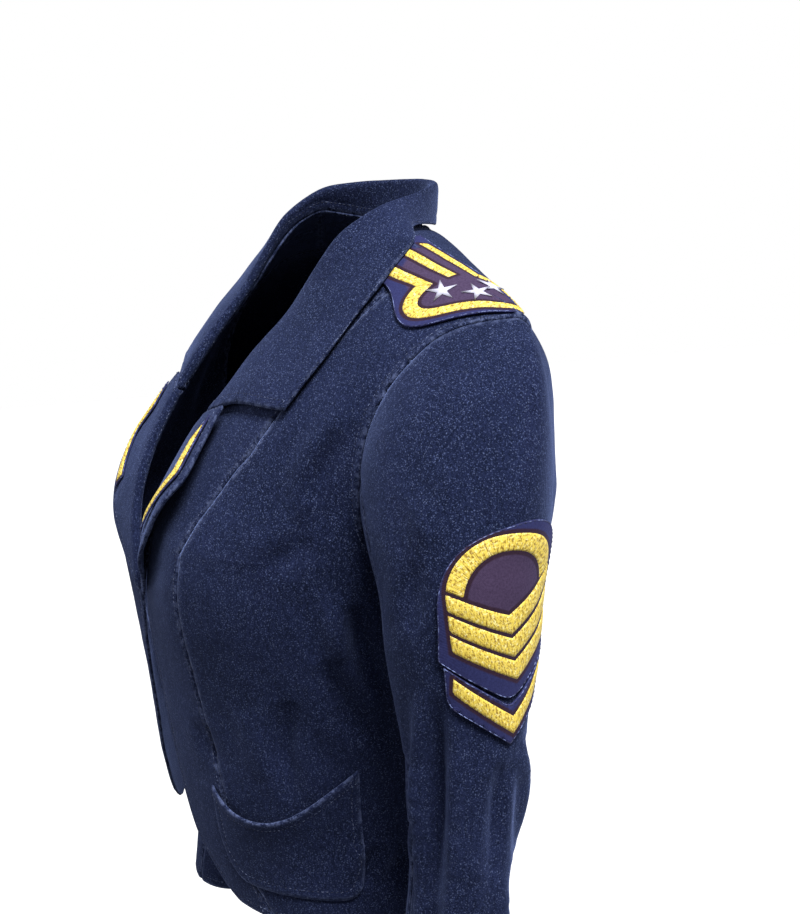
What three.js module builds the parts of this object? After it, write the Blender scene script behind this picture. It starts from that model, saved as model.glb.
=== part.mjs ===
// A cropped, military-style knit blazer, shown filled out and held at the shoulders.
// Millimetres, +Z up. The wearer faces -Y and the wearer's left is +X. The origin is midway
// between the two points where the shoulder seams meet the neck, which is where the wearer holds it.
//
// Every piece of cloth is a wall made from a grid of points: the outer face, and an inner face
// one cloth thickness behind it. The left half is built, and a mirrored group gives the right half.
import * as THREE from "three";

// ---------------------------------------------------------------- driving sizes
const CLOTH = 1.6; // the body and sleeve knit
const FACED = 2.2; // collar and lapels: two layers of knit, pressed flat
const POCKET_CLOTH = 1.4;
const BADGE = 1.1; // a badge: twill with its embroidery
const SEAM_GAP = 0.36; // air left between two pieces at a seam
const LAID_GAP = 0.5; // air under what is sewn onto a panel
const NECK_GAP = 0.6; // the collar stands this far inside the neckline

const SHOULDER = { neckX: 64, neckY: -40, tipX: 182, tipY: 1.5, tipZ: -44 };
const NECK = { backY: 12, backDrop: 8, roundness: 0.75 }; // the back neckline, from above
const UNDERARM_Z = -200;
const HEM = { z: -453, tilt: 0.03 }; // the hem rises a little towards the back
const SHOULDER_ROUND = { front: 100, back: 82 }; // height over which the panels turn over the shoulder

// Columns of the grids. Front and back share the shoulder's columns, so the seam's points meet.
const COLUMNS = { centre: 4, side: 6, backNeck: 5 };
const ROWS = { lower: 12, upper: 12, cap: 7, arm: 13 };

// The torso's horizontal sections, from the hem to the neck. sideY is the line between the front and
// back halves, frontY and backY the middle of each, and frontN and backN how square the outline is.
const BODY = [
  { z: -462, halfX: 157, sideY: -45, frontY: -165, backY: 78, frontN: 2.5, backN: 2 },
  { z: -424, halfX: 151, sideY: -46, frontY: -175, backY: 75, frontN: 2.5, backN: 2.1 },
  { z: -380, halfX: 146, sideY: -48, frontY: -182, backY: 72, frontN: 2.5, backN: 2.2 },
  { z: -328, halfX: 147, sideY: -48, frontY: -188, backY: 76, frontN: 2.5, backN: 2.3 },
  { z: -254, halfX: 157, sideY: -45, frontY: -194, backY: 82, frontN: 2.4, backN: 2.5 },
  { z: -200, halfX: 161, sideY: -36, frontY: -189, backY: 86, frontN: 2.4, backN: 2.6 },
  { z: -166, halfX: 164, sideY: -32, frontY: -179, backY: 86, frontN: 2.3, backN: 2.6 },
  { z: -130, halfX: 170, sideY: -30, frontY: -160, backY: 82, frontN: 2.2, backN: 2.5 },
  { z: -90, halfX: 181, sideY: -30, frontY: -130, backY: 74, frontN: 2.3, backN: 2.5 },
  { z: -60, halfX: 196, sideY: -30, frontY: -107, backY: 61, frontN: 2.5, backN: 2.5 },
  { z: -44, halfX: 205, sideY: -30, frontY: -99, backY: 55, frontN: 2.6, backN: 2.6 },
  { z: 0, halfX: 205, sideY: -30, frontY: -82, backY: 38, frontN: 2.6, backN: 2.6 },
];
// The shaping that the princess seam gives the front.
const BUST = { x: 84, z: -214, rise: 14, acrossX: 46, alongZ: 58 };

// The front's inner edge, from the rounded hem corner up to the break of the lapel (z -254), and
// from there along the roll line to the neck.
const FRONT_EDGE = [
  { z: -456, x: 78 },
  { z: -447, x: 60 },
  { z: -425, x: 42 },
  { z: -390, x: 31 },
  { z: -328, x: 19 },
  { z: -254, x: 8 },
  { z: -210, x: 20 },
  { z: -166, x: 32 },
  { z: -120, x: 44 },
  { z: -85, x: 51 },
  { z: -35, x: 60 },
  { z: 0, x: 64 },
];
// The princess seam, from the hem over the bust to the middle of the shoulder.
const PRINCESS = [
  { z: -460, x: 114 },
  { z: -420, x: 98 },
  { z: -370, x: 88 },
  { z: -320, x: 81 },
  { z: -260, x: 79 },
  { z: -205, x: 81 },
  { z: -160, x: 93 },
  { z: -115, x: 104 },
  { z: -60, x: 113 },
  { z: -20, x: 118 },
];
// The armhole: how many degrees around the section each half stops, from the underarm (at 0) to the
// shoulder tip (at 1).
const ARMHOLE = [
  { at: 0, front: 90, back: 90 },
  { at: 0.1, front: 77, back: 78 },
  { at: 0.25, front: 69.5, back: 69 },
  { at: 0.5, front: 62.3, back: 63 },
  { at: 0.75, front: 53, back: 60 },
  { at: 0.9, front: 48.5, back: 58.5 },
  { at: 1, front: 55, back: 57 },
];
// The sleeve's sections from the wrist up to the cap. x and y are the middle, halfX and halfY the
// half sizes.
const SLEEVE = [
  { z: -628, x: 242, y: -78, halfX: 38, halfY: 30 },
  { z: -600, x: 241, y: -76, halfX: 38, halfY: 29 },
  { z: -520, x: 235, y: -69, halfX: 40, halfY: 28 },
  { z: -430, x: 228, y: -60, halfX: 42, halfY: 27 },
  { z: -370, x: 223, y: -54, halfX: 44, halfY: 28 },
  { z: -316, x: 219, y: -50, halfX: 45, halfY: 34 },
  { z: -250, x: 215, y: -50, halfX: 46, halfY: 43 },
  { z: -232, x: 214, y: -50, halfX: 46, halfY: 46 },
];
const CAP_TOP = SLEEVE[SLEEVE.length - 1].z;
// Armhole columns from the shoulder tip, round the front, to the sleeve's two seams.
const SLEEVE_SEAMS = { front: 7, back: 16 };

// The sleeve's long creases: where around it (degrees from outside, forwards), over what height,
// how wide and how deep. A crease below zero is a trough.
const SLEEVE_FOLDS = [
  { turn: 42, z: -470, length: 150, width: 9, height: -3.2 },
  { turn: 66, z: -500, length: 120, width: 10, height: 2.6 },
  { turn: -20, z: -520, length: 110, width: 9, height: -2.8 },
  { turn: -48, z: -430, length: 90, width: 11, height: 2.4 },
  { turn: 118, z: -330, length: 60, width: 14, height: -3.5 },
];

// The notched collar. `stand` is its height off the neckline, `lean` the angle it leaves the
// neckline at, and `reach` names the point its outer edge falls to, `lift` above the panel there.
const COLLAR = [
  { at: 0, outerX: 113, outerTurn: -84, stand: 1, lean: 180, lift: 4.5 },
  { at: 0.2, outerX: 117, outerTurn: -62, stand: 1.5, lean: 174, lift: 4.2 },
  { at: 0.4, outerX: 114, outerTurn: -38, stand: 3, lean: 156, lift: 4.2 },
  { at: 0.5, outerX: 109, outerTurn: -24, stand: 5, lean: 142, lift: 4.3 },
  { at: 0.6, outerX: 101, outerTurn: -9, stand: 9, lean: 126, lift: 4.5 },
  { at: 0.7, outerX: 86, outerTurn: 5, stand: 15, lean: 112, lift: 4.2 },
  { at: 0.8, outerX: 64, outerTurn: 12, stand: 22, lean: 101, lift: 3.8 },
  { at: 0.9, outerX: 34, outerTurn: 14, stand: 28, lean: 94, lift: 3.4 },
  { at: 1, outerX: 0, outerTurn: 15, stand: 31, lean: 90, lift: 3.2 },
];
const COLLAR_FOLD = 2.7; // radius of the turn, to the middle of the cloth
const COLLAR_ROWS = { front: 12, back: 5, stand: 3, fold: 5, fall: 5 };

// The lapel, from the break up to the gorge. edgeZ is where it turns over the front's edge. The left
// one stands off the chest by the whole lift, and the right one lies closer by LAPEL_LIFT's share.
const GORGE_Z = -120;
const LAPEL_LIFT = { left: 1, right: 0.3 };
const LAPEL = [
  { at: 0, edgeZ: -251, outerX: 15, outerZ: -247, lift: 3.6 },
  { at: 0.25, edgeZ: -222, outerX: 37, outerZ: -231, lift: 8 },
  { at: 0.5, edgeZ: -190, outerX: 56, outerZ: -212, lift: 13 },
  { at: 0.8, edgeZ: -148, outerX: 71, outerZ: -180, lift: 16 },
  { at: 1, edgeZ: GORGE_Z, outerX: 77, outerZ: -160, lift: 14 },
];
const NOTCH = 0.24; // how far along the collar's front edge the lapel's top edge leaves it
const LAPEL_ROWS = { stations: 12, stand: 1, fold: 5, fall: 7 };

// The patch pocket's sagging mouth, by degrees around the front. It gapes a little in the middle.
const POCKET_MOUTH = [
  { turn: 31.5, z: -366 },
  { turn: 38, z: -376 },
  { turn: 47, z: -380 },
  { turn: 55, z: -373 },
  { turn: 65, z: -355 },
  { turn: 73.5, z: -341 },
];
const POCKET = { bottomZ: -434, corner: 26, gape: 8, columns: 14, rows: 9 };

// The badge on the shoulder: degrees around the shoulder of its middle line and of its half width.
const SHOULDER_BADGE = [
  { x: 92, middle: -10, half: 22 },
  { x: 116, middle: -8, half: 23 },
  { x: 128, middle: -6, half: 28 },
  { x: 140, middle: -4, half: 34 },
  { x: 152, middle: -2, half: 35 },
  { x: 164, middle: 1, half: 27 },
  { x: 173, middle: 4, half: 15 },
  { x: 179, middle: 6, half: 3 },
];
const SHOULDER_BADGE_SLANT = 14; // its inner end follows the collar's edge, which crosses it askew

// The badges on the sleeve, a chevroned one with an arched top and a single chevron under it.
// turn is degrees around the sleeve, forwards from the outside.
const SLEEVE_BADGE = { turn: -15, halfTurn: 54, topZ: -148, archDrop: 44, pointZ: -253, rise: 27 };
const LOWER_BADGE = { turn: -15, halfTurn: 50, topZ: -256, pointZ: -279, rise: 27 };

// The chevron on the lapel, nested in its point: one arm along the top edge, one down the free edge.
// Heights are shares of the lapel's length and widths shares of its width.
const LAPEL_BADGE = [
  { outerHeight: 0.95, outerWidth: 0.3, innerHeight: 0.85, innerWidth: 0.3 },
  { outerHeight: 0.93, outerWidth: 0.86, innerHeight: 0.82, innerWidth: 0.64 },
  { outerHeight: 0.6, outerWidth: 0.8, innerHeight: 0.6, innerWidth: 0.52 },
];

// ---------------------------------------------------------------- small helpers
const { cos, sin, sqrt, PI, abs, max, min, exp, atan2 } = Math;
const vec = (x, y, z) => new THREE.Vector3(x, y, z);
const lerp = THREE.MathUtils.lerp;
const radians = THREE.MathUtils.degToRad;
const spread = (count, make) => Array.from({ length: count + 1 }, (_, i) => make(i / count, i));

// A smooth curve through a table: gives every named column at a value of the first one.
function curveThrough(rows, key) {
  const names = Object.keys(rows[0]).filter((name) => name !== key);
  const slope = (i, name) => {
    const a = rows[max(i - 1, 0)];
    const b = rows[min(i + 1, rows.length - 1)];
    return (b[name] - a[name]) / (b[key] - a[key]);
  };
  return (value) => {
    let i = 0;
    while (i < rows.length - 2 && value > rows[i + 1][key]) i++;
    const a = rows[i];
    const b = rows[i + 1];
    const run = b[key] - a[key];
    const t = THREE.MathUtils.clamp((value - a[key]) / run, 0, 1);
    const out = { [key]: value };
    for (const name of names) {
      const m0 = slope(i, name) * run;
      const m1 = slope(i + 1, name) * run;
      out[name] =
        (2 * t ** 3 - 3 * t ** 2 + 1) * a[name] +
        (t ** 3 - 2 * t ** 2 + t) * m0 +
        (3 * t ** 2 - 2 * t ** 3) * b[name] +
        (t ** 3 - t ** 2) * m1;
    }
    return out;
  };
}

const bodyAt = curveThrough(BODY, "z");
const frontEdgeAt = curveThrough(FRONT_EDGE, "z");
const princessAt = curveThrough(PRINCESS, "z");
const armholeAt = curveThrough(ARMHOLE, "at");
const sleeveAt = curveThrough(SLEEVE, "z");

// ---------------------------------------------------------------- the torso's surface
// The line where front and back meet: the shoulder seam, and towards the middle the neckline.
function topLine(x, half) {
  const { neckX, neckY, tipX, tipY, tipZ } = SHOULDER;
  if (x >= neckX) {
    const t = (x - neckX) / (tipX - neckX);
    return { y: lerp(neckY, tipY, t), z: tipZ * t };
  }
  if (half === "front") return { y: neckY, z: 0 };
  const round = max(0, 1 - (x / neckX) ** 2) ** NECK.roundness;
  return { y: lerp(neckY, NECK.backY, round), z: -NECK.backDrop * round };
}

const squareness = (s, half) => (half === "front" ? s.frontN : s.backN);

// A point of the torso at an angle around its section: 0 is the middle and PI / 2 the side.
function torsoPoint(half, angle, z) {
  const s = bodyAt(z);
  const n = squareness(s, half);
  const r = (sin(angle) ** n + cos(angle) ** n) ** (-1 / n);
  const p = vec(s.halfX * r * sin(angle), 0, z);
  const middle = half === "front" ? s.frontY : s.backY;
  p.y = lerp(s.sideY, middle, r * cos(angle));
  if (half === "front") {
    const across = (p.x - BUST.x) / BUST.acrossX;
    const along = (z - BUST.z) / BUST.alongZ;
    p.y -= BUST.rise * exp(-(across ** 2) - along ** 2);
  }
  const top = topLine(p.x, half);
  const t = (top.z - z) / SHOULDER_ROUND[half];
  if (t < 1) p.y = lerp(top.y, p.y, sqrt(1 - (1 - max(t, 0)) ** 2));
  return p;
}

// The angle at which a half's section reaches a given x.
function angleAt(half, x, z) {
  const s = bodyAt(z);
  const n = squareness(s, half);
  const share = THREE.MathUtils.clamp(x / s.halfX, 0, 1);
  return atan2(share, (1 - share ** n) ** (1 / n));
}

// The sleeve's seam along a half: the angle at an upper row, and the side seam below it.
const rowRise = (row) => (row <= ROWS.lower ? 0 : (row - ROWS.lower) / ROWS.upper);
const armholeAngle = (half, row) => radians(armholeAt(rowRise(row))[half]);

// One panel of the torso: a grid of columns by rows between two edges. Each edge gives an angle at
// a height, and topX gives where each column ends on the shoulder seam or the neckline.
function torsoPanel({ half, columns, inner, outer, topX }) {
  const rows = ROWS.lower + ROWS.upper;
  return spread(columns, (u) =>
    spread(rows, (_, row) => {
      const top = topLine(topX(u), half);
      const low = torsoPoint(half, lerp(inner(HEM.z, row), outer(HEM.z, row), u), HEM.z);
      const bottom = HEM.z + HEM.tilt * low.y;
      const t = rowRise(row);
      const z =
        t === 0
          ? lerp(bottom, UNDERARM_Z, row / ROWS.lower)
          : lerp(UNDERARM_Z, top.z, (1 - cos(PI * t)) / 2);
      const [from, to] = [inner(z, row), outer(z, row)];
      const share = (topX(u) - topX(0)) / (topX(1) - topX(0));
      const level = lerp(torsoPoint(half, from, z).x, torsoPoint(half, to, z).x, share);
      const x = lerp(level, topX(u), t ** 6);
      return torsoPoint(half, lerp(lerp(from, to, u), angleAt(half, x, z), t ** 3), z);
    }),
  );
}

const frontCentre = torsoPanel({
  half: "front",
  columns: COLUMNS.centre,
  inner: (z) => angleAt("front", frontEdgeAt(z).x, z),
  outer: (z) => angleAt("front", princessAt(z).x, z),
  topX: (u) => lerp(SHOULDER.neckX, princessAt(0).x, u),
});
const frontSide = torsoPanel({
  half: "front",
  columns: COLUMNS.side,
  inner: (z) => angleAt("front", princessAt(z).x, z),
  outer: (z, row) => armholeAngle("front", row),
  topX: (u) => lerp(princessAt(0).x, SHOULDER.tipX, u),
});
const backColumns = COLUMNS.backNeck + COLUMNS.centre + COLUMNS.side;
const back = torsoPanel({
  half: "back",
  columns: backColumns,
  inner: () => 0,
  outer: (z, row) => armholeAngle("back", row),
  topX: (u) => {
    const column = u * backColumns - COLUMNS.backNeck;
    if (column <= 0) return SHOULDER.neckX * sin(((PI / 2) * u * backColumns) / COLUMNS.backNeck);
    if (column <= COLUMNS.centre) return lerp(SHOULDER.neckX, princessAt(0).x, column / COLUMNS.centre);
    return lerp(princessAt(0).x, SHOULDER.tipX, (column - COLUMNS.centre) / COLUMNS.side);
  },
});

// ---------------------------------------------------------------- the sleeve's surface
// Around the armhole from the shoulder tip, down the front, under the arm and up the back.
const armhole = [
  ...frontSide[COLUMNS.side].slice(ROWS.lower).reverse(),
  ...back[backColumns].slice(ROWS.lower + 1, -1),
];
const AROUND = armhole.length;

// How far the creases in a table move the cloth out at a turn and a height.
function creased(table, turn, z) {
  let out = 0;
  for (const fold of table) {
    const away = (THREE.MathUtils.euclideanModulo(turn - fold.turn + 180, 360) - 180) / fold.width;
    const along = (z - fold.z) / fold.length;
    out += fold.height * exp(-(away ** 2) - along ** 4);
  }
  return out;
}

function sleeveRingPoint(z, column) {
  const s = sleeveAt(z);
  const lean = (sleeveAt(z + 1).y - sleeveAt(z - 1).y) / 2;
  const turn = (360 * column) / AROUND;
  const out = creased(SLEEVE_FOLDS, turn, z);
  const dy = -(s.halfY + out) * sin(radians(turn));
  return vec(s.x + (s.halfX + out) * cos(radians(turn)), s.y + dy, z - lean * dy);
}

// The cap: each column leaves the armhole outwards and turns down into the arm.
function capPoint(column, t) {
  const start = armhole[column];
  const end = sleeveRingPoint(CAP_TOP, column);
  const run = start.distanceTo(end);
  const turn = (2 * PI * column) / AROUND;
  const leave = vec(0.9, -0.15 - 0.25 * sin(turn), -0.3).normalize().multiplyScalar(run);
  const arrive = vec(0, 0, -run * 0.9);
  return vec(0, 0, 0)
    .addScaledVector(start, 2 * t ** 3 - 3 * t ** 2 + 1)
    .addScaledVector(leave, t ** 3 - 2 * t ** 2 + t)
    .addScaledVector(end, 3 * t ** 2 - 2 * t ** 3)
    .addScaledVector(arrive, t ** 3 - t ** 2);
}

function sleevePanel(from, to) {
  return spread(to - from, (_, i) => {
    const column = (from + i + AROUND) % AROUND;
    const cap = spread(ROWS.cap, (t) => (t === 0 ? armhole[column].clone() : capPoint(column, t)));
    const arm = spread(ROWS.arm, (t) =>
      sleeveRingPoint(lerp(CAP_TOP, SLEEVE[0].z, t), column),
    );
    return [...cap, ...arm.slice(1)];
  });
}
const sleeveUpper = sleevePanel(SLEEVE_SEAMS.back - AROUND, SLEEVE_SEAMS.front);
const sleeveUnder = sleevePanel(SLEEVE_SEAMS.front, SLEEVE_SEAMS.back);

// ---------------------------------------------------------------- from grids to walls
// Normals shared by all the panels that meet at a seam, so their walls meet face to face there.
function sharedNormals(panels) {
  const sums = new Map();
  const keyOf = (p) => [p.x, p.y, p.z].map((v) => Math.round(v * 50)).join();
  const add = (p, n) => {
    const key = keyOf(p);
    if (!sums.has(key)) sums.set(key, vec(0, 0, 0));
    sums.get(key).add(n);
  };
  for (const { grid, turn } of panels)
    for (let i = 0; i < grid.length - 1; i++)
      for (let j = 0; j < grid[0].length - 1; j++) {
        const [a, b, c, d] = [grid[i][j], grid[i + 1][j], grid[i + 1][j + 1], grid[i][j + 1]];
        const n = c.clone().sub(a).cross(d.clone().sub(b)).multiplyScalar(turn);
        for (const p of [a, b, c, d]) add(p, n);
      }
  return (p) => {
    const n = sums.get(keyOf(p)).clone();
    if (abs(p.x) < 0.01) n.x = 0;
    return n.normalize();
  };
}

// Offsets every point of a grid along its normal.
const moved = (grid, normalAt, distance) =>
  grid.map((column, i) =>
    column.map((p, j) => {
      const by = typeof distance === "function" ? distance(i, j) : distance;
      return p.clone().addScaledVector(normalAt(p, i, j), by);
    }),
  );

// Draws the rim of a grid back by half a seam gap, square to the edge, on the edges named.
function drawnBack(grid, { i0 = true, i1 = true, j0 = true, j1 = true } = {}) {
  const [I, J] = [grid.length - 1, grid[0].length - 1];
  const out = grid.map((column) => column.map((p) => p.clone()));
  const pull = (i, j, di, dj) => {
    const [before, after] = [grid[max(i - abs(dj), 0)], grid[min(i + abs(dj), I)]];
    const edge = after[min(j + abs(di), J)].clone().sub(before[max(j - abs(di), 0)]).normalize();
    const inward = grid[i + di][j + dj].clone().sub(grid[i][j]);
    inward.addScaledVector(edge, -inward.dot(edge)).setLength(SEAM_GAP / 2);
    out[i][j].add(inward);
  };
  for (let j = 0; j <= J; j++) {
    if (i0) pull(0, j, 1, 0);
    if (i1) pull(I, j, -1, 0);
  }
  for (let i = 0; i <= I; i++) {
    if (j0) pull(i, 0, 0, 1);
    if (j1) pull(i, J, 0, -1);
  }
  return out;
}

// A closed wall between two grids of the same size.
function wall(outer, inner) {
  const [I, J] = [outer.length - 1, outer[0].length - 1];
  const position = [];
  const index = [];
  const points = [...outer.flat(), ...inner.flat()];
  for (const p of points) position.push(p.x, p.y, p.z);
  const at = (side, i, j) => side * (I + 1) * (J + 1) + i * (J + 1) + j;
  // A quad is split along its shorter diagonal, so two walls that meet at a seam are split alike.
  const quad = (a, b, c, d) => {
    const straight = points[a].distanceTo(points[c]) < points[b].distanceTo(points[d]);
    index.push(...(straight ? [a, b, c, a, c, d] : [b, c, d, b, d, a]));
  };
  for (let i = 0; i < I; i++)
    for (let j = 0; j < J; j++) {
      quad(at(0, i, j), at(0, i + 1, j), at(0, i + 1, j + 1), at(0, i, j + 1));
      quad(at(1, i, j), at(1, i, j + 1), at(1, i + 1, j + 1), at(1, i + 1, j));
    }
  for (let i = 0; i < I; i++) {
    quad(at(1, i, 0), at(1, i + 1, 0), at(0, i + 1, 0), at(0, i, 0));
    quad(at(0, i, J), at(0, i + 1, J), at(1, i + 1, J), at(1, i, J));
  }
  for (let j = 0; j < J; j++) {
    quad(at(0, 0, j), at(0, 0, j + 1), at(1, 0, j + 1), at(1, 0, j));
    quad(at(1, I, j), at(1, I, j + 1), at(0, I, j + 1), at(0, I, j));
  }
  const geometry = new THREE.BufferGeometry()
    .setAttribute("position", new THREE.Float32BufferAttribute(position, 3))
    .setIndex(index);
  return volumeOf(geometry) < 0 ? turnedOut(geometry) : geometry;
}

function volumeOf(geometry) {
  const p = geometry.getAttribute("position");
  const [a, b, c] = [vec(), vec(), vec()];
  let sum = 0;
  for (let i = 0; i < geometry.index.count; i += 3) {
    a.fromBufferAttribute(p, geometry.index.getX(i));
    b.fromBufferAttribute(p, geometry.index.getX(i + 1));
    c.fromBufferAttribute(p, geometry.index.getX(i + 2));
    sum += a.dot(b.cross(c)) / 6;
  }
  return sum;
}

function turnedOut(geometry) {
  const ids = Array.from(geometry.index.array);
  for (let i = 0; i < ids.length; i += 3) [ids[i + 1], ids[i + 2]] = [ids[i + 2], ids[i + 1]];
  return geometry.setIndex(ids);
}

const shell = [
  { name: "front_centre", grid: frontCentre, turn: 1 },
  { name: "front_side", grid: frontSide, turn: 1 },
  { name: "back", grid: back, turn: -1 },
  { name: "sleeve_upper", grid: sleeveUpper, turn: 1 },
  { name: "sleeve_under", grid: sleeveUnder, turn: 1 },
];
const normalAt = sharedNormals(shell);

// ---------------------------------------------------------------- cloth turned over an edge
// Places on the shoulders and the chest are given by x and by a turn around the shoulder: 0 on the
// seam, negative to the front and positive to the back.
function shoulderPoint(x, turn) {
  const half = turn < 0 ? "front" : "back";
  const around = abs(turn);
  const drop = around < PI / 2 ? 1 - cos(around) : 1 + around - PI / 2;
  const z = topLine(x, half).z - SHOULDER_ROUND[half] * drop;
  return torsoPoint(half, angleAt(half, x, z), z);
}

// The turn that a height on the front has.
function frontTurn(x, z) {
  const drop = (topLine(x, "front").z - z) / SHOULDER_ROUND.front;
  return drop < 1 ? -Math.acos(1 - drop) : -(PI / 2 + drop - 1);
}

// A point of the shoulders moved out along the surface's own normal.
function shoulderFrame({ x, turn }) {
  const p = shoulderPoint(x, turn);
  const acrossX = shoulderPoint(x + 10, turn).sub(shoulderPoint(max(x - 10, 0), turn));
  const back = shoulderPoint(x, turn + (turn < 0 ? -0.01 : 0.01)).sub(p).multiplyScalar(turn < 0 ? -1 : 1);
  return { p, n: acrossX.cross(back).normalize() };
}

// The middle line of cloth turned over an edge, seen along the edge: `along` runs over the panel
// from its edge, `up` away from it, and `facing` is the way the outer face looks. The cloth leaves
// the edge at an angle (90 stands up, 180 carries on past the edge), stands, turns over, and falls
// straight to a point.
function turnedSection({ lean, stand, radius, reach, lift, cloth, rows }) {
  const heading = radians(lean);
  const start = {
    along: -NECK_GAP - (cloth / 2) * sin(heading),
    up: lerp(-CLOTH, -CLOTH / 2, -cos(heading)),
  };
  const foot = { along: start.along + stand * cos(heading), up: start.up + stand * sin(heading) };
  const centre = { along: foot.along + radius * sin(heading), up: foot.up - radius * cos(heading) };
  const across = { along: reach - centre.along, up: lift - centre.up };
  const slant = sqrt(across.along ** 2 + across.up ** 2 - radius ** 2);
  const falling = atan2(across.up, across.along) - atan2(radius, slant);
  const between = (a, b, t, facing) => ({
    along: lerp(a.along, b.along, t),
    up: lerp(a.up, b.up, t),
    facing,
  });
  const end = { along: reach, up: lift };
  const onTurn = (t) => {
    const facing = lerp(heading, falling, t) + PI / 2;
    return {
      along: centre.along + radius * cos(facing),
      up: centre.up + radius * sin(facing),
      facing,
    };
  };
  return [
    ...spread(rows.stand, (t) => between(start, foot, t, heading + PI / 2)),
    ...spread(rows.fold, onTurn).slice(1),
    ...spread(rows.fall, (t) => between(onTurn(1), end, t, falling + PI / 2)).slice(1),
  ];
}

// Carries a section onto the shoulders, along a path of places that starts at the edge. It bends
// with the cloth under it, or stays flat across it by the share `flatness`.
function onShoulders({ path, section, flatness = 0 }, out) {
  const frames = spread(10, (t) => shoulderFrame(path(t)));
  const [edge, end] = [frames[0], frames[frames.length - 1]];
  const reach = frames.slice(1).reduce((sum, f, i) => sum + f.p.distanceTo(frames[i].p), 0);
  const straight = end.p.clone().sub(edge.p);
  const across = straight.clone().normalize();
  const square = edge.n.clone().add(end.n);
  square.addScaledVector(across, -square.dot(across)).normalize();
  const away = frames[1].p.clone().sub(edge.p).normalize().lerp(across, flatness).normalize();
  const placed = (turned) => [
    turned.along + out * cos(turned.facing),
    turned.up + out * sin(turned.facing),
  ];
  const bent = turnedSection({ ...section, reach }).map((turned) => {
    const [along, up] = placed(turned);
    if (along < 0) return edge.p.clone().addScaledVector(away, along).addScaledVector(edge.n, up);
    const { p, n } = shoulderFrame(path(along / reach));
    return p.addScaledVector(n, up);
  });
  const flat = turnedSection({ ...section, reach: straight.length() }).map((turned) => {
    const [along, up] = placed(turned);
    return edge.p.clone().addScaledVector(across, along).addScaledVector(square, up);
  });
  return bent.map((p, k) => p.lerp(flat[k], flatness));
}

// One face of turned cloth, with a section for each station.
const turnedFace = (stations, out) => stations.map((station) => onShoulders(station, out));

// Carries a half on across the middle of the back.
function bothSides(half) {
  const mirrored = half.map((column) => column.map((p) => vec(-p.x, p.y, p.z)));
  return [...half, ...mirrored.reverse().slice(1)];
}

const collarAt = curveThrough(COLLAR, "at");
const lapelAt = curveThrough(LAPEL, "at");

// The neckline from the gorge over the side of the neck to the middle of the back. Behind, it has
// the points of the back panel.
const SIDE_OF_NECK = 0.62; // how far along the neckline the shoulder seam is
function necklinePlace(at) {
  if (at < SIDE_OF_NECK) {
    const z = GORGE_Z * (1 - at / SIDE_OF_NECK);
    const x = frontEdgeAt(z).x;
    return { x, turn: frontTurn(x, z) };
  }
  return { x: SHOULDER.neckX * cos(((PI / 2) * (at - SIDE_OF_NECK)) / (1 - SIDE_OF_NECK)), turn: 0 };
}

function collarStation(at) {
  const row = collarAt(at);
  const edge = necklinePlace(at);
  const outer = { x: row.outerX, turn: radians(row.outerTurn) };
  return {
    path: (t) => ({ x: lerp(edge.x, outer.x, t), turn: lerp(edge.turn, outer.turn, t) }),
    section: { ...row, radius: COLLAR_FOLD, cloth: FACED, rows: COLLAR_ROWS },
    flatness: THREE.MathUtils.smoothstep(at, 0.4, SIDE_OF_NECK),
  };
}
const collarHalf = [
  ...spread(COLLAR_ROWS.front, (t) => collarStation(t * SIDE_OF_NECK)),
  ...spread(COLLAR_ROWS.back, (t) => collarStation(lerp(SIDE_OF_NECK, 1, t))).slice(1),
];

// The lapel's top edge runs along the gorge to the notch and then down to its point.
function lapelStation(at, liftShare) {
  const row = lapelAt(at);
  const place = (x, z) => ({ x, turn: frontTurn(x, z) });
  const edge = place(frontEdgeAt(row.edgeZ).x, row.edgeZ);
  const outer = place(row.outerX, row.outerZ);
  const gorge = collarHalf[0].path(0);
  const notch = collarHalf[0].path(NOTCH);
  const tip = place(LAPEL[LAPEL.length - 1].outerX, LAPEL[LAPEL.length - 1].outerZ);
  const topEdge = (t, key) =>
    t < NOTCH
      ? lerp(gorge[key], notch[key], t / NOTCH)
      : lerp(notch[key], tip[key], (t - NOTCH) / (1 - NOTCH));
  const bent = (t, key) => {
    const kink = topEdge(t, key) - lerp(gorge[key], tip[key], t);
    return lerp(edge[key], outer[key], t) + kink * at ** 2;
  };
  return {
    path: (t) => ({ x: bent(t, "x"), turn: bent(t, "turn") }),
    section: {
      lean: 180,
      stand: 1,
      radius: lerp(1.8, COLLAR_FOLD, min(1, 3 * at)),
      lift: lerp(LAPEL[0].lift, row.lift, liftShare),
      cloth: FACED,
      rows: LAPEL_ROWS,
    },
  };
}
function lapelFaces(side) {
  const stations = spread(LAPEL_ROWS.stations, (at) => lapelStation(at, LAPEL_LIFT[side]));
  return [FACED / 2, -FACED / 2].map((out) =>
    drawnBack(turnedFace(stations, out), { i0: false, j0: false, j1: false }),
  );
}

// ---------------------------------------------------------------- what is sewn onto the panels
// The rounded surface's point and normal at a fractional place of a grid.
function onGrid(grid, normalOf, i, j) {
  const [i0, j0] = [min(Math.floor(i), grid.length - 2), min(Math.floor(j), grid[0].length - 2)];
  const corners = [[0, 0], [1, 0], [0, 1], [1, 1]].map(([di, dj]) => {
    const p = grid[i0 + di][j0 + dj];
    const share = (di ? i - i0 : 1 - i + i0) * (dj ? j - j0 : 1 - j + j0);
    return { p, n: normalOf(p), share };
  });
  const flat = vec(0, 0, 0);
  for (const { p, share } of corners) flat.addScaledVector(p, share);
  const [round, n] = [vec(0, 0, 0), vec(0, 0, 0)];
  for (const corner of corners) {
    const above = flat.clone().sub(corner.p).dot(corner.n);
    round.addScaledVector(flat, corner.share).addScaledVector(corner.n, -above * corner.share);
    n.addScaledVector(corner.n, corner.share);
  }
  return { p: round, n: n.normalize() };
}

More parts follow.
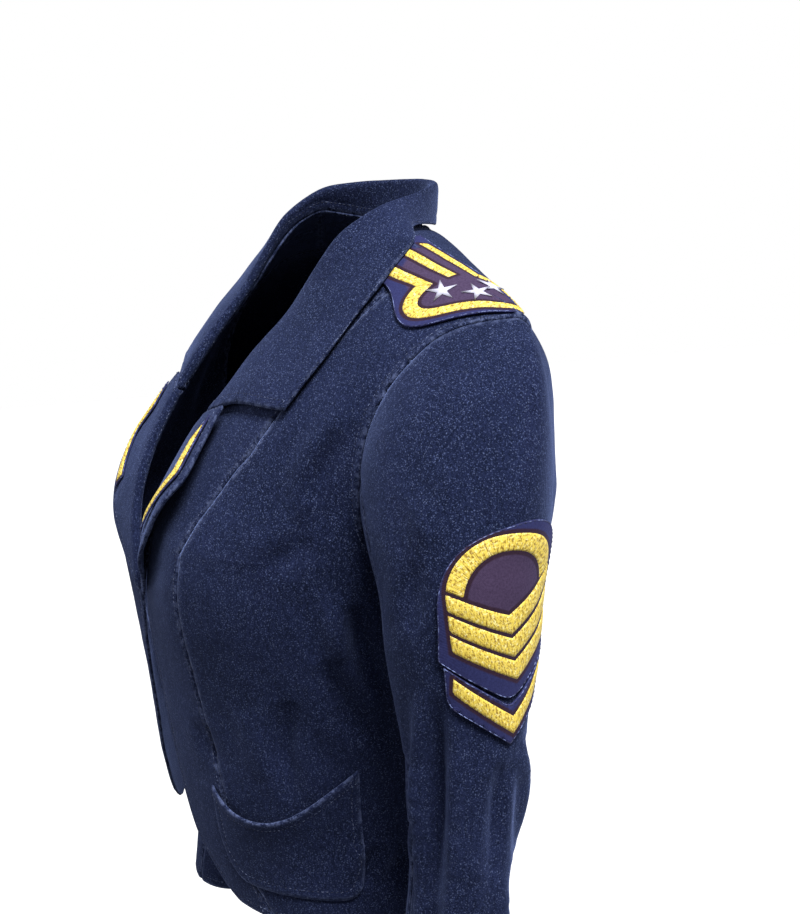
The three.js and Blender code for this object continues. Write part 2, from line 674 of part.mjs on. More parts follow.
// A wall lying over the surface at a grid of frames, with an extra height of its own if given.
function laidWall(frames, cloth, extra = () => 0) {
  const lifted = ({ p, n }, height) => p.clone().addScaledVector(n, height);
  const at = (out) =>
    frames.map((column, i) => column.map((place, j) => lifted(place, LAID_GAP + extra(i, j) + out)));
  return wall(at(cloth), at(0));
}

function frontFrame(angle, z) {
  const p = torsoPoint("front", angle, z);
  const across = torsoPoint("front", angle + 0.02, z).sub(p);
  const up = torsoPoint("front", angle, z + 2).sub(p);
  return { p, n: across.cross(up).normalize() };
}

const mouthAt = curveThrough(POCKET_MOUTH, "turn");
function pocket() {
  const [first, last] = [POCKET_MOUTH[0].turn, POCKET_MOUTH[POCKET_MOUTH.length - 1].turn];
  const frames = spread(POCKET.columns, (u) => {
    const turn = lerp(first, last, (1 - cos(PI * u)) / 2);
    const inFromSide = min(1, (6 * min(turn - first, last - turn)) / (last - first));
    const bottom = POCKET.bottomZ + POCKET.corner * (1 - sqrt(1 - (1 - inFromSide) ** 2));
    return spread(POCKET.rows, (v) => frontFrame(radians(turn), lerp(bottom, mouthAt(turn).z, v)));
  });
  const gape = (i, j) => POCKET.gape * sin((PI * i) / POCKET.columns) ** 2 * (j / POCKET.rows) ** 3;
  return laidWall(frames, POCKET_CLOTH, gape);
}

const shoulderBadgeAt = curveThrough(SHOULDER_BADGE, "x");
function shoulderBadge() {
  const frames = spread(12, (u) =>
    spread(10, (v) => {
      const across = 2 * v - 1;
      const first = SHOULDER_BADGE[0].x - SHOULDER_BADGE_SLANT * across;
      const x = lerp(first, SHOULDER_BADGE[SHOULDER_BADGE.length - 1].x, u);
      const { middle, half } = shoulderBadgeAt(x);
      return shoulderFrame({ x, turn: radians(middle + half * across) });
    }),
  );
  return laidWall(frames, BADGE);
}

// A place on the sleeve by degrees around it and height.
function sleeveFrame(turn, z) {
  const i = (turn * AROUND) / 360 + AROUND - SLEEVE_SEAMS.back;
  const [a, b, share] = [sleeveUpper[Math.floor(i)], sleeveUpper[Math.floor(i) + 1], i % 1];
  const heights = a.map((p, j) => lerp(p.z, b[j].z, share));
  const j = heights.findIndex((height, row) => row > 0 && height < z);
  return onGrid(sleeveUpper, normalAt, i, j - (z - heights[j]) / (heights[j - 1] - heights[j]));
}

function sleeveBadge({ turn, halfTurn, topZ, archDrop, pointZ, rise }) {
  const frames = spread(12, (u) => {
    const across = archDrop ? sin(PI * (u - 0.5)) : 2 * u - 1;
    const top = archDrop ? topZ - archDrop * (1 - sqrt(1 - min(1, across ** 2))) : topZ + rise * abs(across);
    const bottom = pointZ + rise * abs(across);
    const rows = archDrop ? 9 : 3;
    return spread(rows, (v) => sleeveFrame(turn + halfTurn * across, lerp(bottom, top, v)));
  });
  return laidWall(frames, BADGE);
}

const foldedRows = LAPEL_ROWS.stand + LAPEL_ROWS.fold;
function lapelBadge(face) {
  const faceNormal = sharedNormals([{ grid: face, turn: -1 }]);
  const [top, point, bottom] = LAPEL_BADGE;
  const frames = spread(12, (u) => {
    const [from, to, t] = u < 0.5 ? [top, point, 2 * u] : [point, bottom, 2 * u - 1];
    const along = (key) => lerp(from[key], to[key], t);
    return spread(2, (v) => {
      const height = lerp(along("innerHeight"), along("outerHeight"), v);
      const width = lerp(along("innerWidth"), along("outerWidth"), v);
      const row = foldedRows + width * LAPEL_ROWS.fall;
      return onGrid(face, faceNormal, height * LAPEL_ROWS.stations, row);
    });
  });
  return laidWall(frames, BADGE);
}

// ---------------------------------------------------------------- materials
const navyKnit = new THREE.MeshStandardMaterial({ color: 0x1d2746, roughness: 0.95, metalness: 0 });
const goldThread = new THREE.MeshStandardMaterial({ color: 0xd8b13a, roughness: 0.7, metalness: 0 });

// ---------------------------------------------------------------- assembly
const blazer = new THREE.Group();
const left = new THREE.Group();
const right = new THREE.Group();
right.scale.x = -1;
blazer.add(left, right);

function add(group, name, geometry, material) {
  const mesh = new THREE.Mesh(geometry, material.clone());
  mesh.name = name;
  group.add(mesh);
}

const sides = { left, right };
function addPair(name, geometry, material) {
  for (const side in sides) add(sides[side], `${name}_${side}`, geometry, material);
}

for (const { name, grid } of shell)
  addPair(name, wall(drawnBack(grid), drawnBack(moved(grid, normalAt, -CLOTH))), navyKnit);

for (const side in sides) {
  const [face, backFace] = lapelFaces(side);
  add(sides[side], `lapel_${side}`, wall(face, backFace), navyKnit);
  add(sides[side], `badge_lapel_${side}`, lapelBadge(face), goldThread);
}
const [collarFace, collarBack] = [FACED / 2, -FACED / 2].map((out) =>
  drawnBack(bothSides(turnedFace(collarHalf, out)), { j0: false, j1: false }),
);
add(blazer, "collar", wall(collarFace, collarBack), navyKnit);

addPair("pocket", pocket(), navyKnit);
addPair("badge_shoulder", shoulderBadge(), goldThread);
addPair("badge_sleeve", sleeveBadge(SLEEVE_BADGE), goldThread);
addPair("badge_sleeve_lower", sleeveBadge(LOWER_BADGE), goldThread);

export default blazer;
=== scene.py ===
# %% [markdown]
# # A cropped, military-style knit blazer
# This notebook dresses a finished construction model. The model, called the frame, gives every
# piece of cloth as a rigid wall at its real size and place. Here each wall becomes cloth: smooth,
# creased, seamed, stitched and coloured. Everything is in metres, +Z is up, the wearer faces -Y
# and the wearer's left is +X.

import math

import bmesh
import bpy
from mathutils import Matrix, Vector, noise
from mathutils.bvhtree import BVHTree
from mathutils.kdtree import KDTree


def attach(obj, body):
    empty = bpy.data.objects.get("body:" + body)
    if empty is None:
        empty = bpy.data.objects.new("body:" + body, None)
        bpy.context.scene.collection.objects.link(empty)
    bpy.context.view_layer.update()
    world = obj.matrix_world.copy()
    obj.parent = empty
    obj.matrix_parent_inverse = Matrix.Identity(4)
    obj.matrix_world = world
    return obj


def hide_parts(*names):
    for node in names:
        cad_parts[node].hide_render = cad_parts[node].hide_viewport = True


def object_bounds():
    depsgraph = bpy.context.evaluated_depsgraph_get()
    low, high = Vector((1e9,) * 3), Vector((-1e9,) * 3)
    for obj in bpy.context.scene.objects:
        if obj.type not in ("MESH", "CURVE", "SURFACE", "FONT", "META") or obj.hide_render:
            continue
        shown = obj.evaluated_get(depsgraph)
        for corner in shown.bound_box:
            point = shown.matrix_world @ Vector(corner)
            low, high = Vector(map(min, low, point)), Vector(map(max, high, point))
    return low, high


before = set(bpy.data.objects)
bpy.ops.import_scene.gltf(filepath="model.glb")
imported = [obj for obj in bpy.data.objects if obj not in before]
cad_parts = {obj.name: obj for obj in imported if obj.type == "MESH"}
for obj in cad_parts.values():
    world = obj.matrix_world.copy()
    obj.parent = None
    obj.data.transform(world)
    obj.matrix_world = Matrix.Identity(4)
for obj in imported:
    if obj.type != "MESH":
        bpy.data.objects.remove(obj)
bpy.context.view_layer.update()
MM = 0.001

# %% [markdown]
# ## From walls to one smooth shell
# A real blazer is cut from flat panels, but over the body they form one flowing surface. If each
# panel were smoothed alone, its edge would no longer meet its neighbour's. So the outer faces of
# all the panels are welded into one mesh, and Catmull-Clark subdivision smooths them together.
# A panel's number is kept as its material index, which subdivision passes on to every new face.

# %% Take the outer face of a wall
WELD = 0.01 * MM  # joins a wall's loose triangles
RIM_BEND = math.radians(55)  # a wall's faces meet its rim at more than this


def merged_copy(node):
    """A copy of a node's mesh, with its loose triangles joined."""
    bm = bmesh.new()
    bm.from_mesh(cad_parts[node].data)
    bmesh.ops.remove_doubles(bm, verts=bm.verts, dist=WELD)
    return bm


def smooth_regions(bm):
    """Groups of faces that join without a sharp bend between them."""
    left = set(bm.faces)
    groups = []
    while left:
        front = [left.pop()]
        group = list(front)
        while front:
            for edge in front.pop().edges:
                if len(edge.link_faces) == 2 and edge.calc_face_angle() < RIM_BEND:
                    fresh = [f for f in edge.link_faces if f in left]
                    left.difference_update(fresh)
                    front += fresh
                    group += fresh
        groups.append(group)
    return groups


def outer_face(node):
    """The outer side of a wall, in quads. It is the largest smooth region, as it bends outwards."""
    bm = merged_copy(node)
    keep = set(max(smooth_regions(bm), key=lambda faces: sum(f.calc_area() for f in faces)))
    bmesh.ops.delete(bm, geom=[f for f in bm.faces if f not in keep], context="FACES")
    bmesh.ops.join_triangles(
        bm,
        faces=bm.faces,
        angle_face_threshold=math.radians(50),
        angle_shape_threshold=math.radians(75),
    )
    return bm


# %% Weld the panels and smooth them
SIDES = ("left", "right")
PANEL_NAMES = ("front_centre", "front_side", "back", "sleeve_upper", "sleeve_under")
PANELS = [f"{name}_{side}" for side in SIDES for name in PANEL_NAMES]
SEAM_WELD = 0.8 * MM  # more than the air at a seam, less than any face's side
SMOOTHING = 3  # each level cuts a face into four


def subdivided(bm, levels, corners="PRESERVE_CORNERS"):
    """The bmesh smoothed by Catmull-Clark subdivision."""
    mesh = bpy.data.meshes.new("rough")
    bm.to_mesh(mesh)
    rough = bpy.data.objects.new("rough", mesh)
    bpy.context.scene.collection.objects.link(rough)
    smoothing = rough.modifiers.new("smooth", "SUBSURF")
    smoothing.levels = smoothing.render_levels = levels
    smoothing.boundary_smooth = corners
    fine = bmesh.new()
    fine.from_object(rough, bpy.context.evaluated_depsgraph_get())
    bpy.data.objects.remove(rough)
    bpy.data.meshes.remove(mesh)
    bm.free()
    fine.normal_update()
    return fine


shell = bmesh.new()
for number, panel in enumerate(PANELS):
    part = outer_face(panel)
    for face in part.faces:
        face.material_index = number
    loose = bpy.data.meshes.new("loose")
    part.to_mesh(loose)
    shell.from_mesh(loose)
    bpy.data.meshes.remove(loose)
    part.free()
bmesh.ops.remove_doubles(shell, verts=shell.verts, dist=SEAM_WELD)
print("coarse shell:", len(shell.faces), "faces")
shell = subdivided(shell, SMOOTHING)
print("fine shell:", len(shell.faces), "faces")

# %% [markdown]
# ## Places on the cloth
# A tailor speaks of places as "so far round, so high". Two small functions turn such a place into a
# point: they cast a ray outwards from the middle of the body or of a sleeve onto the shell.

# %% Find a place on the body or on a sleeve
BODY_AXIS_Y = -0.048
SLEEVE_TOP = Vector((0.214, -0.050, -0.232))
SLEEVE_END = Vector((0.242, -0.078, -0.628))
shell_tree = BVHTree.FromBMesh(shell)


def body_ray(turn, height, side=1):
    """A ray from the middle of the body: turn in degrees from the front, height in mm."""
    angle = math.radians(turn)
    start = Vector((0, BODY_AXIS_Y, height * MM))
    return start, Vector((side * math.sin(angle), -math.cos(angle), 0))


def sleeve_ray(turn, height, side=1):
    """A ray from the middle of a sleeve: turn in degrees from its outside, forwards."""
    angle = math.radians(turn)
    share = (height * MM - SLEEVE_TOP.z) / (SLEEVE_END.z - SLEEVE_TOP.z)
    middle = SLEEVE_TOP.lerp(SLEEVE_END, share)
    start = Vector((side * middle.x, middle.y, middle.z))
    return start, Vector((side * math.cos(angle), -math.sin(angle), 0))


# %% [markdown]
# ## Creases
# Worn cloth creases where the body bends: under the arm, over the pocket, and down the sleeves. A
# cloth simulation could find such creases, but not these ones. So each crease is a row of a table:
# the places it runs through, how deep it is and how wide. It is a soft trough with a low ridge on
# both sides that fades out at both ends. A depth below zero makes a ridge. The right side has
# similar creases, a little further round, lower and shallower.

# %% List the creases
# Each row is a path of places (turn, height), then the depth and the width in mm.
BODY_CREASES = [
    ([(73, -224), (75, -255), (79, -292)], 4.2, 7),
    ([(68, -216), (70, -262)], -2.2, 8),
    ([(66, -262), (72, -300), (80, -330)], 2.2, 9),
    ([(79, -398), (75, -426)], 3.2, 6),
    ([(86, -405), (79, -430)], 2.4, 7),
    ([(58, -290), (56, -330), (57, -366)], 2.6, 7),
    ([(46, -300), (49, -352)], -1.2, 9),
    ([(72, -92), (63, -139), (60, -172)], -1.6, 9),
    ([(70, -113), (62, -160)], 1.5, 7),
    ([(64, -180), (52, -206)], 1.3, 8),
    ([(30, -320), (36, -352)], 1.1, 9),
    ([(98, -322), (112, -338), (128, -346)], 2.4, 9),
    ([(104, -362), (121, -372)], 1.8, 8),
    ([(150, -338), (172, -350)], 1.9, 10),
    ([(142, -376), (164, -384)], 1.4, 9),
    ([(118, -210), (128, -248), (134, -282)], 2.4, 10),
    ([(140, -150), (146, -196)], 1.4, 10),
]
SLEEVE_CREASES = [
    ([(51, -246), (62, -294), (71, -355), (74, -420)], -2.8, 6),
    ([(30, -251), (24, -300), (20, -355), (24, -430), (30, -520)], -2.6, 6),
    ([(40, -246), (42, -300), (44, -372)], 2.2, 8),
    ([(3, -305), (4, -352), (8, -410)], -1.4, 6),
    ([(-14, -290), (-11, -312), (-12, -366)], 2.0, 7),
    ([(-35, -284), (-52, -312), (-58, -360)], -2.6, 7),
    ([(-24, -360), (-34, -430), (-30, -500)], -2.6, 7),
    ([(70, -134), (53, -164)], -1.5, 8),
    ([(50, -112), (39, -160)], -1.2, 9),
    ([(60, -170), (64, -214)], 1.6, 8),
    ([(48, -440), (30, -486), (26, -540)], 2.0, 9),
    ([(-60, -420), (-44, -470), (-50, -540)], 1.8, 9),
    ([(112, -300), (92, -330), (86, -372)], 2.6, 8),
    ([(128, -348), (104, -372)], 2.2, 7),
    ([(-118, -262), (-96, -300), (-90, -350)], 2.6, 9),
    ([(-126, -372), (-100, -412)], 1.8, 8),
    ([(82, -500), (70, -560)], 1.6, 8),
    ([(-10, -556), (0, -606)], 1.3, 9),
    ([(60, -400), (52, -470), (54, -550)], -2.4, 6),
    ([(2, -420), (-4, -500), (4, -580)], -2.0, 7),
    ([(40, -380), (38, -440), (42, -500)], 2.0, 7),
]
OTHER_SIDE = {"turn": 4, "height": -9, "depth": 0.85}

# %% Press the creases into the shell
CREASE_STEPS = 12  # samples between two places of a crease
CREASE_REACH = 3.2  # widths from a crease to the last point that it moves
RIDGE = {"share": 0.35, "at": 1.9}  # ridges beside a trough: height, and place in widths
DEEPEN = 2.2  # every depth in the tables is multiplied by this
SLEEVE_NUMBERS = {n for n, panel in enumerate(PANELS) if panel.startswith("sleeve")}

for vert in shell.verts:
    vert.tag = bool({f.material_index for f in vert.link_faces} & SLEEVE_NUMBERS)
plain_places = KDTree(len(shell.verts))
for vert in shell.verts:
    plain_places.insert(vert.co, vert.index)
plain_places.balance()
shell.verts.ensure_lookup_table()


def crease_samples(path, ray, side):
    """Points of the shell along a crease, with the share of its length that lies behind each."""
    hits = []
    for (turn_a, high_a), (turn_b, high_b) in zip(path, path[1:]):
        for i in range(CREASE_STEPS):
            t = i / CREASE_STEPS
            place = (turn_a + t * (turn_b - turn_a), high_a + t * (high_b - high_a))
            hits.append(shell_tree.ray_cast(*ray(*place, side))[0])
    hits.append(shell_tree.ray_cast(*ray(*path[-1], side))[0])
    hits = [hit for hit in hits if hit is not None]
    return [(hit, i / (len(hits) - 1)) for i, hit in enumerate(hits)]


def crease_profile(q):
    """The height of a trough and its ridges, q widths from its middle."""
    return math.exp(-q * q) - RIDGE["share"] * math.exp(-((q - RIDGE["at"]) ** 2))


def press_crease(path, depth, width, ray, side, on_sleeve):
    nearest = {}
    for place, share in crease_samples(path, ray, side):
        for _, index, distance in plain_places.find_range(place, CREASE_REACH * width):
            if distance < nearest.get(index, (1, 0))[0]:
                nearest[index] = (distance, share)
    for index, (distance, share) in nearest.items():
        vert = shell.verts[index]
        if vert.tag == on_sleeve:
            fade = math.sin(math.pi * min(max(share, 0), 1)) ** 0.8
            moves[index] -= vert.normal * depth * DEEPEN * fade * crease_profile(distance / width)


moves = [Vector((0, 0, 0)) for _ in shell.verts]
for table, ray, on_sleeve in ((BODY_CREASES, body_ray, False), (SLEEVE_CREASES, sleeve_ray, True)):
    for path, depth, width in table:
        press_crease(path, depth * MM, width * MM, ray, 1, on_sleeve)
        path = [(t + OTHER_SIDE["turn"], h + OTHER_SIDE["height"]) for t, h in path]
        depth *= OTHER_SIDE["depth"]
        press_crease(path, depth * MM, width * MM, ray, -1, on_sleeve)

# Cloth is never quite even, so slow and quick noise moves it a little everywhere.
UNEVEN = [(22, 0.9 * MM), (70, 0.28 * MM)]  # waves in each metre, height
for vert in shell.verts:
    for waves, height in UNEVEN:
        moves[vert.index] += vert.normal * height * noise.noise(vert.co * waves)
print("deepest crease:", round(max(m.length for m in moves) / MM, 1), "mm")

# %% [markdown]
# ## Seams
# Where two panels are sewn together the cloth dips, because the stitches pull it down onto the seam
# allowance, and it swells beside the dip, where the allowance lies under it. Each point's distance
# to the nearest seam gives that dip. The distance is also kept on the mesh as an attribute, so that
# the material can wear the cloth pale along the seams.

# %% Sink the seams and keep the distances
FAR = 30 * MM  # distances are kept up to this


def tree_of(places):
    tree = KDTree(len(places))
    for i, place in enumerate(places):
        tree.insert(place, i)
    tree.balance()
    return tree


# Beside a seam the cloth dips, then swells. Beside an edge it turns in, and dips at the stitches.
SEAM_WAVES = [
    {"height": -1.0 * MM, "at": 0, "width": 1.7 * MM},
    {"height": 0.25 * MM, "at": 5 * MM, "width": 2.6 * MM},
]
EDGE_WAVES = [
    {"height": -0.8 * MM, "at": 0, "width": 1.3 * MM},
    {"height": -0.3 * MM, "at": 7 * MM, "width": 1.8 * MM},
]


def raised(distance, waves):
    """How far the cloth moves out, at a distance from its seam or edge."""
    return sum(w["height"] * math.exp(-(((distance - w["at"]) / w["width"]) ** 2)) for w in waves)


def is_seam(edge):
    return len({f.material_index for f in edge.link_faces}) > 1


seam_near = shell.verts.layers.float.new("seam_near")
edge_near = shell.verts.layers.float.new("edge_near")
seam_tree = tree_of([v.co for v in shell.verts if any(is_seam(e) for e in v.link_edges)])
edge_tree = tree_of([v.co for v in shell.verts if v.is_boundary])
PUCKER = {"waves": 160, "share": 0.35}  # in each metre of seam, and how much they change its dip
crease_moves = [move.copy() for move in moves]
for vert in shell.verts:
    vert[seam_near] = min(seam_tree.find(vert.co)[2], FAR)
    vert[edge_near] = min(edge_tree.find(vert.co)[2], FAR)
    pucker = 1 + PUCKER["share"] * noise.noise(vert.co * PUCKER["waves"])
    out = raised(vert[seam_near], SEAM_WAVES) * pucker + raised(vert[edge_near], EDGE_WAVES)
    moves[vert.index] += vert.normal * out

# At the neck the cloth is sewn to the collar, so its edge is drawn up to the collar's.
DRAWN = {"width": 7 * MM, "reach": 4.5 * MM, "share": 0.85}
collar_edge = subdivided(outer_face("collar"), SMOOTHING, corners="ALL")
collar_edge = tree_of([v.co for v in collar_edge.verts if v.is_boundary])
for vert in shell.verts:
    place, _, distance = collar_edge.find(vert.co + moves[vert.index])
    if vert[edge_near] < DRAWN["width"] and distance < DRAWN["reach"] + vert[edge_near]:
        share = DRAWN["share"] * (1 - vert[edge_near] / DRAWN["width"]) ** 2
        moves[vert.index] += share * (place - vert.co - moves[vert.index])

for vert, move in zip(shell.verts, moves):
    vert.co += move
shell.normal_update()
shell_tree = BVHTree.FromBMesh(shell)


CARRIERS = 4  # points of the shell that carry a point lying on it
NEAREST = 0.2 * MM  # added to their distances, so that none counts for all


def carried(bm):
    """Moves what lies on the shell along with the creases under it."""
    for vert in bm.verts:
        near = plain_places.find_n(vert.co, CARRIERS)
        weights = [1 / (distance + NEAREST) for _, _, distance in near]
        for (_, index, _), weight in zip(near, weights):
            vert.co += crease_moves[index] * weight / sum(weights)
    bm.normal_update()
    return bm


# %% [markdown]
# ## Finished pieces
# Each panel leaves the shell as a mesh of its own. A Solidify modifier gives the cloth its
# thickness on the inside, and keeps the outer face where it is.

# %% Make pieces from meshes
CLOTH = 1.6 * MM


def make_piece(name, bm, node, thickness=0.0):
    """Turns a bmesh into a piece that replaces a CAD node."""
    for face in bm.faces:
        face.smooth = True
    mesh = bpy.data.meshes.new(name)
    bm.to_mesh(mesh)
    bm.free()
    piece = bpy.data.objects.new(name, mesh)
    bpy.context.scene.collection.objects.link(piece)
    if thickness:
        wall = piece.modifiers.new("thickness", "SOLIDIFY")
        wall.thickness = thickness
        wall.offset = -1
    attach(piece, "root")
    if node:
        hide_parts(node)
    return piece


# %% Cut the shell into panels
def panel_bmesh(bm, number):
    part = bm.copy()
    others = [f for f in part.faces if f.material_index != number]
    bmesh.ops.delete(part, geom=others, context="FACES")
    for face in part.faces:
        face.material_index = 0
    return part


pieces = {}
outlines = {}  # a copy of each piece's outer face, for the sewing that follows its border
for number, panel in enumerate(PANELS):
    part = panel_bmesh(shell, number)
    outlines[panel] = part.copy()
    pieces[panel] = make_piece(f"cloth_{panel}", part, panel, CLOTH)
print("panels:", sum(len(pieces[p].data.polygons) for p in PANELS), "faces")

# %% [markdown]
# ## Collar, lapels and pockets
# These are two layers of knit, sewn, turned and pressed, so their edges are rounder and firmer, but
# they still wave a little. Their walls are smoothed one by one, with round corners, then waved by
# noise, and their edges are sunk and quilted by the stitching. A large, plain piece needs fewer
# levels of subdivision than a lapel with its badge, and a small badge fewer than a large one.

# %% Smooth, wave and edge the turned pieces
TURNED = 2.2 * MM  # two layers of cloth
POCKET_CLOTH = 1.4 * MM
TURNED_PIECES = [
    {"node": "collar", "thickness": TURNED, "wave": 1.3, "smoothing": 2},
    {"node": "lapel_left", "thickness": TURNED, "wave": 2.4, "smoothing": 3},
    {"node": "lapel_right", "thickness": TURNED, "wave": 1.0, "smoothing": 3},
    {"node": "pocket_left", "thickness": POCKET_CLOTH, "wave": 0.5, "smoothing": 2},
    {"node": "pocket_right", "thickness": POCKET_CLOTH, "wave": 0.5, "smoothing": 2},
]
WAVES = 26  # in each metre
RIPPLES = {"waves": 90, "height": 0.2 * MM}


def wave_cloth(bm, wave):
    """Waves a turned piece, and rounds and quilts its edge."""
    near_edge = bm.verts.layers.float.new("edge_near")
    near_seam = bm.verts.layers.float.new("seam_near")
    tree = tree_of([v.co for v in bm.verts if v.is_boundary])
    shifts = []
    for vert in bm.verts:
        distance = tree.find(vert.co)[2]
        vert[near_edge] = min(distance, FAR)
        vert[near_seam] = FAR
        out = wave * MM * noise.noise(vert.co * WAVES)
        out += RIPPLES["height"] * noise.noise(vert.co * RIPPLES["waves"])
        shifts.append(vert.normal * (out + raised(distance, EDGE_WAVES)))
    for vert, shift in zip(bm.verts, shifts):
        vert.co += shift
    bm.normal_update()
    return bm


for row in TURNED_PIECES:
    node = row["node"]
    part = subdivided(outer_face(node), row["smoothing"], corners="ALL")
    if node.startswith("pocket"):
        part = carried(part)
    part = wave_cloth(part, row["wave"])
    outlines[node] = part.copy()
    pieces[node] = make_piece(f"cloth_{node}", part, node, row["thickness"])
    print(node, len(pieces[node].data.polygons), "faces")

# %% [markdown]
# ## Badges
# A badge is a piece of twill with the design embroidered in satin stitch, and a thread round its
# border. The twill ground is the CAD wall's outer face, smoothed. The design is drawn flat, as
# bands between two lines, and a grid is stretched between the lines and wrapped onto the ground. A
# band is higher in its middle, because satin stitch is padded.

# %% Lay the badge grounds
BADGE_CLOTH = 0.9 * MM
SMALL_SMOOTHING = 2  # levels for the small badges
grounds = {}
for node in sorted(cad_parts):
    if node.startswith("badge_"):
        small = "lapel" in node or "lower" in node
        ground = subdivided(outer_face(node), SMALL_SMOOTHING if small else SMOOTHING)
        if "lapel" not in node:
            ground = carried(ground)
        near_edge = ground.verts.layers.float.new("edge_near")
        border_tree = tree_of([v.co for v in ground.verts if v.is_boundary])
        for vert in ground.verts:
            vert[near_edge] = border_tree.find(vert.co)[2]
        grounds[node] = ground
        outlines[node] = ground.copy()

# %% Wrap flat designs onto the cloth
LOFT = 0.8 * MM  # height of the padding in the middle of a band
SUNK = 0.25 * MM  # how deep a band's border lies in the ground
END_RISE = 0.8 * MM  # over which a band rises from its end
END_SHARE = 0.05  # of its height at the very end


def lerp(a, b, t):
    return a + (b - a) * t


class Wrap:
    """Wraps flat places onto a badge's ground by rays."""

    def __init__(self, ground, ray, side):
        self.tree = BVHTree.FromBMesh(ground)
        self.ray = ray
        self.side = side

    def __call__(self, place, height):
        start, way = self.ray(*place, self.side)
        point, normal, _, _ = self.tree.ray_cast(start, way)
        if point is None:
            point, normal, _, _ = self.tree.find_nearest(shell_tree.ray_cast(start, way)[0])
        if normal.dot(way) < 0:
            normal = -normal
        return point + normal * height


def face_way(bm, faces, way):
    """Turns faces over if they look away from a given way."""
    faces = list(faces)
    for face in faces:
        face.normal_update()
    if sum(face.normal.dot(way) for face in faces) < 0:
        bmesh.ops.reverse_faces(bm, faces=faces)


def add_band(bm, inner, outer, wrap, steps=48, rows=6):
    """A padded band of satin stitch between two flat lines."""
    stitch_map = bm.loops.layers.uv.verify()
    grid = bmesh.ops.create_grid(bm, x_segments=steps, y_segments=rows, size=0.5)["verts"]
    flat = {v: (v.co.x + 0.5, v.co.y + 0.5) for v in grid}
    ends = [wrap(inner(t), 0) for t in (i / steps for i in range(steps + 1))]
    length = sum((b - a).length for a, b in zip(ends, ends[1:]))
    breadth = (wrap(inner(0.5), 0) - wrap(outer(0.5), 0)).length
    for face in {f for v in grid for f in v.link_faces}:
        for loop in face.loops:
            along, across = flat[loop.vert]
            loop[stitch_map].uv = (along * length, across * breadth)
    for vert, (along, across) in flat.items():
        a, b = inner(along), outer(along)
        place = tuple(lerp(p, q, across) for p, q in zip(a, b))
        round_across = math.sqrt(max(0, 1 - abs(2 * across - 1) ** 3))
        round_end = min(1, min(along, 1 - along) * length / END_RISE + END_SHARE)
        vert.co = wrap(place, LOFT * round_across * round_end - SUNK)
    faces = {f for v in grid for f in v.link_faces}
    face_way(bm, faces, wrap(inner(0.5), 2 * MM) - wrap(inner(0.5), 0))


# %% Draw the sleeve badges
# Flat places on a sleeve are (turn, height), as for the creases. The design leans a little: its
# points lie further behind the lower they are. Each line runs from behind to a point to the front.
CHEVRONS = {
    "top": [(-56, -178), (-9, -199.5), (37, -185.5)],
    "bottom": [(-62, -219), (-21, -241.5), (30.5, -219.8)],
}
CHEVRON_SHARES = [(0, 0.32), (0.34, 0.66), (0.68, 1)]  # each band's share of the way down
LOWER_CHEVRON = {
    "top": [(-56, -237), (-19, -261.5), (29, -234.5)],
    "bottom": [(-56, -249), (-20, -273.8), (29, -244.5)],
}
ARCH = {
    "outer": {"middle": -9.5, "half": 46.5, "feet": (-177, -184.5), "top": -153},
    "inner": {"middle": -7.5, "half": 30.5, "feet": (-185.8, -188.6), "top": -163.8},
}


def bent_line(points):
    """A line with one bend, which lies at its middle share."""

    def at(t):
        a, b = points[:2] if t < 0.5 else points[1:]
        return tuple(lerp(p, q, 2 * t if t < 0.5 else 2 * t - 1) for p, q in zip(a, b))

    return at


def between(lines, share):
    """The line a share of the way from the top line to the bottom line."""
    ends = zip(lines["top"], lines["bottom"])
    return bent_line([tuple(lerp(p, q, share) for p, q in zip(a, b)) for a, b in ends])


def arch_line(middle, half, feet, top):
    """Half an ellipse, from its foot behind to its foot in front."""

    def at(t):
        angle = math.pi * (1 - t)
        foot = lerp(*feet, t)
        return middle + half * math.cos(angle), foot + (top - foot) * math.sin(angle)

    return at


def sleeve_design(side, node):
    """The arch with three chevrons under it."""
    bands = bmesh.new()
    wrap = Wrap(grounds[node], sleeve_ray, side)
    for high, low in CHEVRON_SHARES:
        add_band(bands, between(CHEVRONS, low), between(CHEVRONS, high), wrap)
    add_band(bands, arch_line(**ARCH["inner"]), arch_line(**ARCH["outer"]), wrap, steps=80)
    return bands


def lower_design(side, node):
    """A single chevron."""
    bands = bmesh.new()
    wrap = Wrap(grounds[node], sleeve_ray, side)
    add_band(bands, between(LOWER_CHEVRON, 1), between(LOWER_CHEVRON, 0), wrap)
    return bands


# %% Draw the shoulder badges
# Flat places on a shoulder are (x in mm, degrees from its seam, forwards below zero). The design is
# the same on both sides of a middle line.
MIDDLE_LINE = [(92, -10), (116, -8), (128, -6), (140, -4), (152, -2), (164, 1), (173, 4), (180, 6)]
# The ring runs from the end of a bar round to the badge's tip. Each row is a place on its outer
# line and one on its inner line, as (x, degrees from the middle line).
RING = [
    ((129.5, 19.5), (136, 13.5)),
    ((133, 29), (138, 21.5)),
    ((138.5, 35), (141, 26.8)),
    ((146, 37.3), (145.5, 29.3)),
    ((153, 35), (150.5, 27.6)),
    ((159, 30.3), (155, 22.8)),
    ((164, 24), (159.5, 15.5)),
    ((169.5, 15.8), (164.5, 8)),
    ((174.5, 7.5), (168, 3)),
]
RING_TIP = (176.5, 168.8)
BAR_SPREAD = 15.5  # degrees between the middles of two bars
BAR_HALF = 3.4
BARS = [  # place beside the middle line, and from where to where their two sides run
    {"beside": -BAR_SPREAD, "low": (107, 131), "high": (104, 136)},
    {"beside": 0, "low": (100, 135), "high": (95, 133.5)},
    {"beside": BAR_SPREAD, "low": (93, 136), "high": (93, 131)},
]
SHOULDER_RADIUS = {"high": 91 * MM, "flat": 65 * MM}
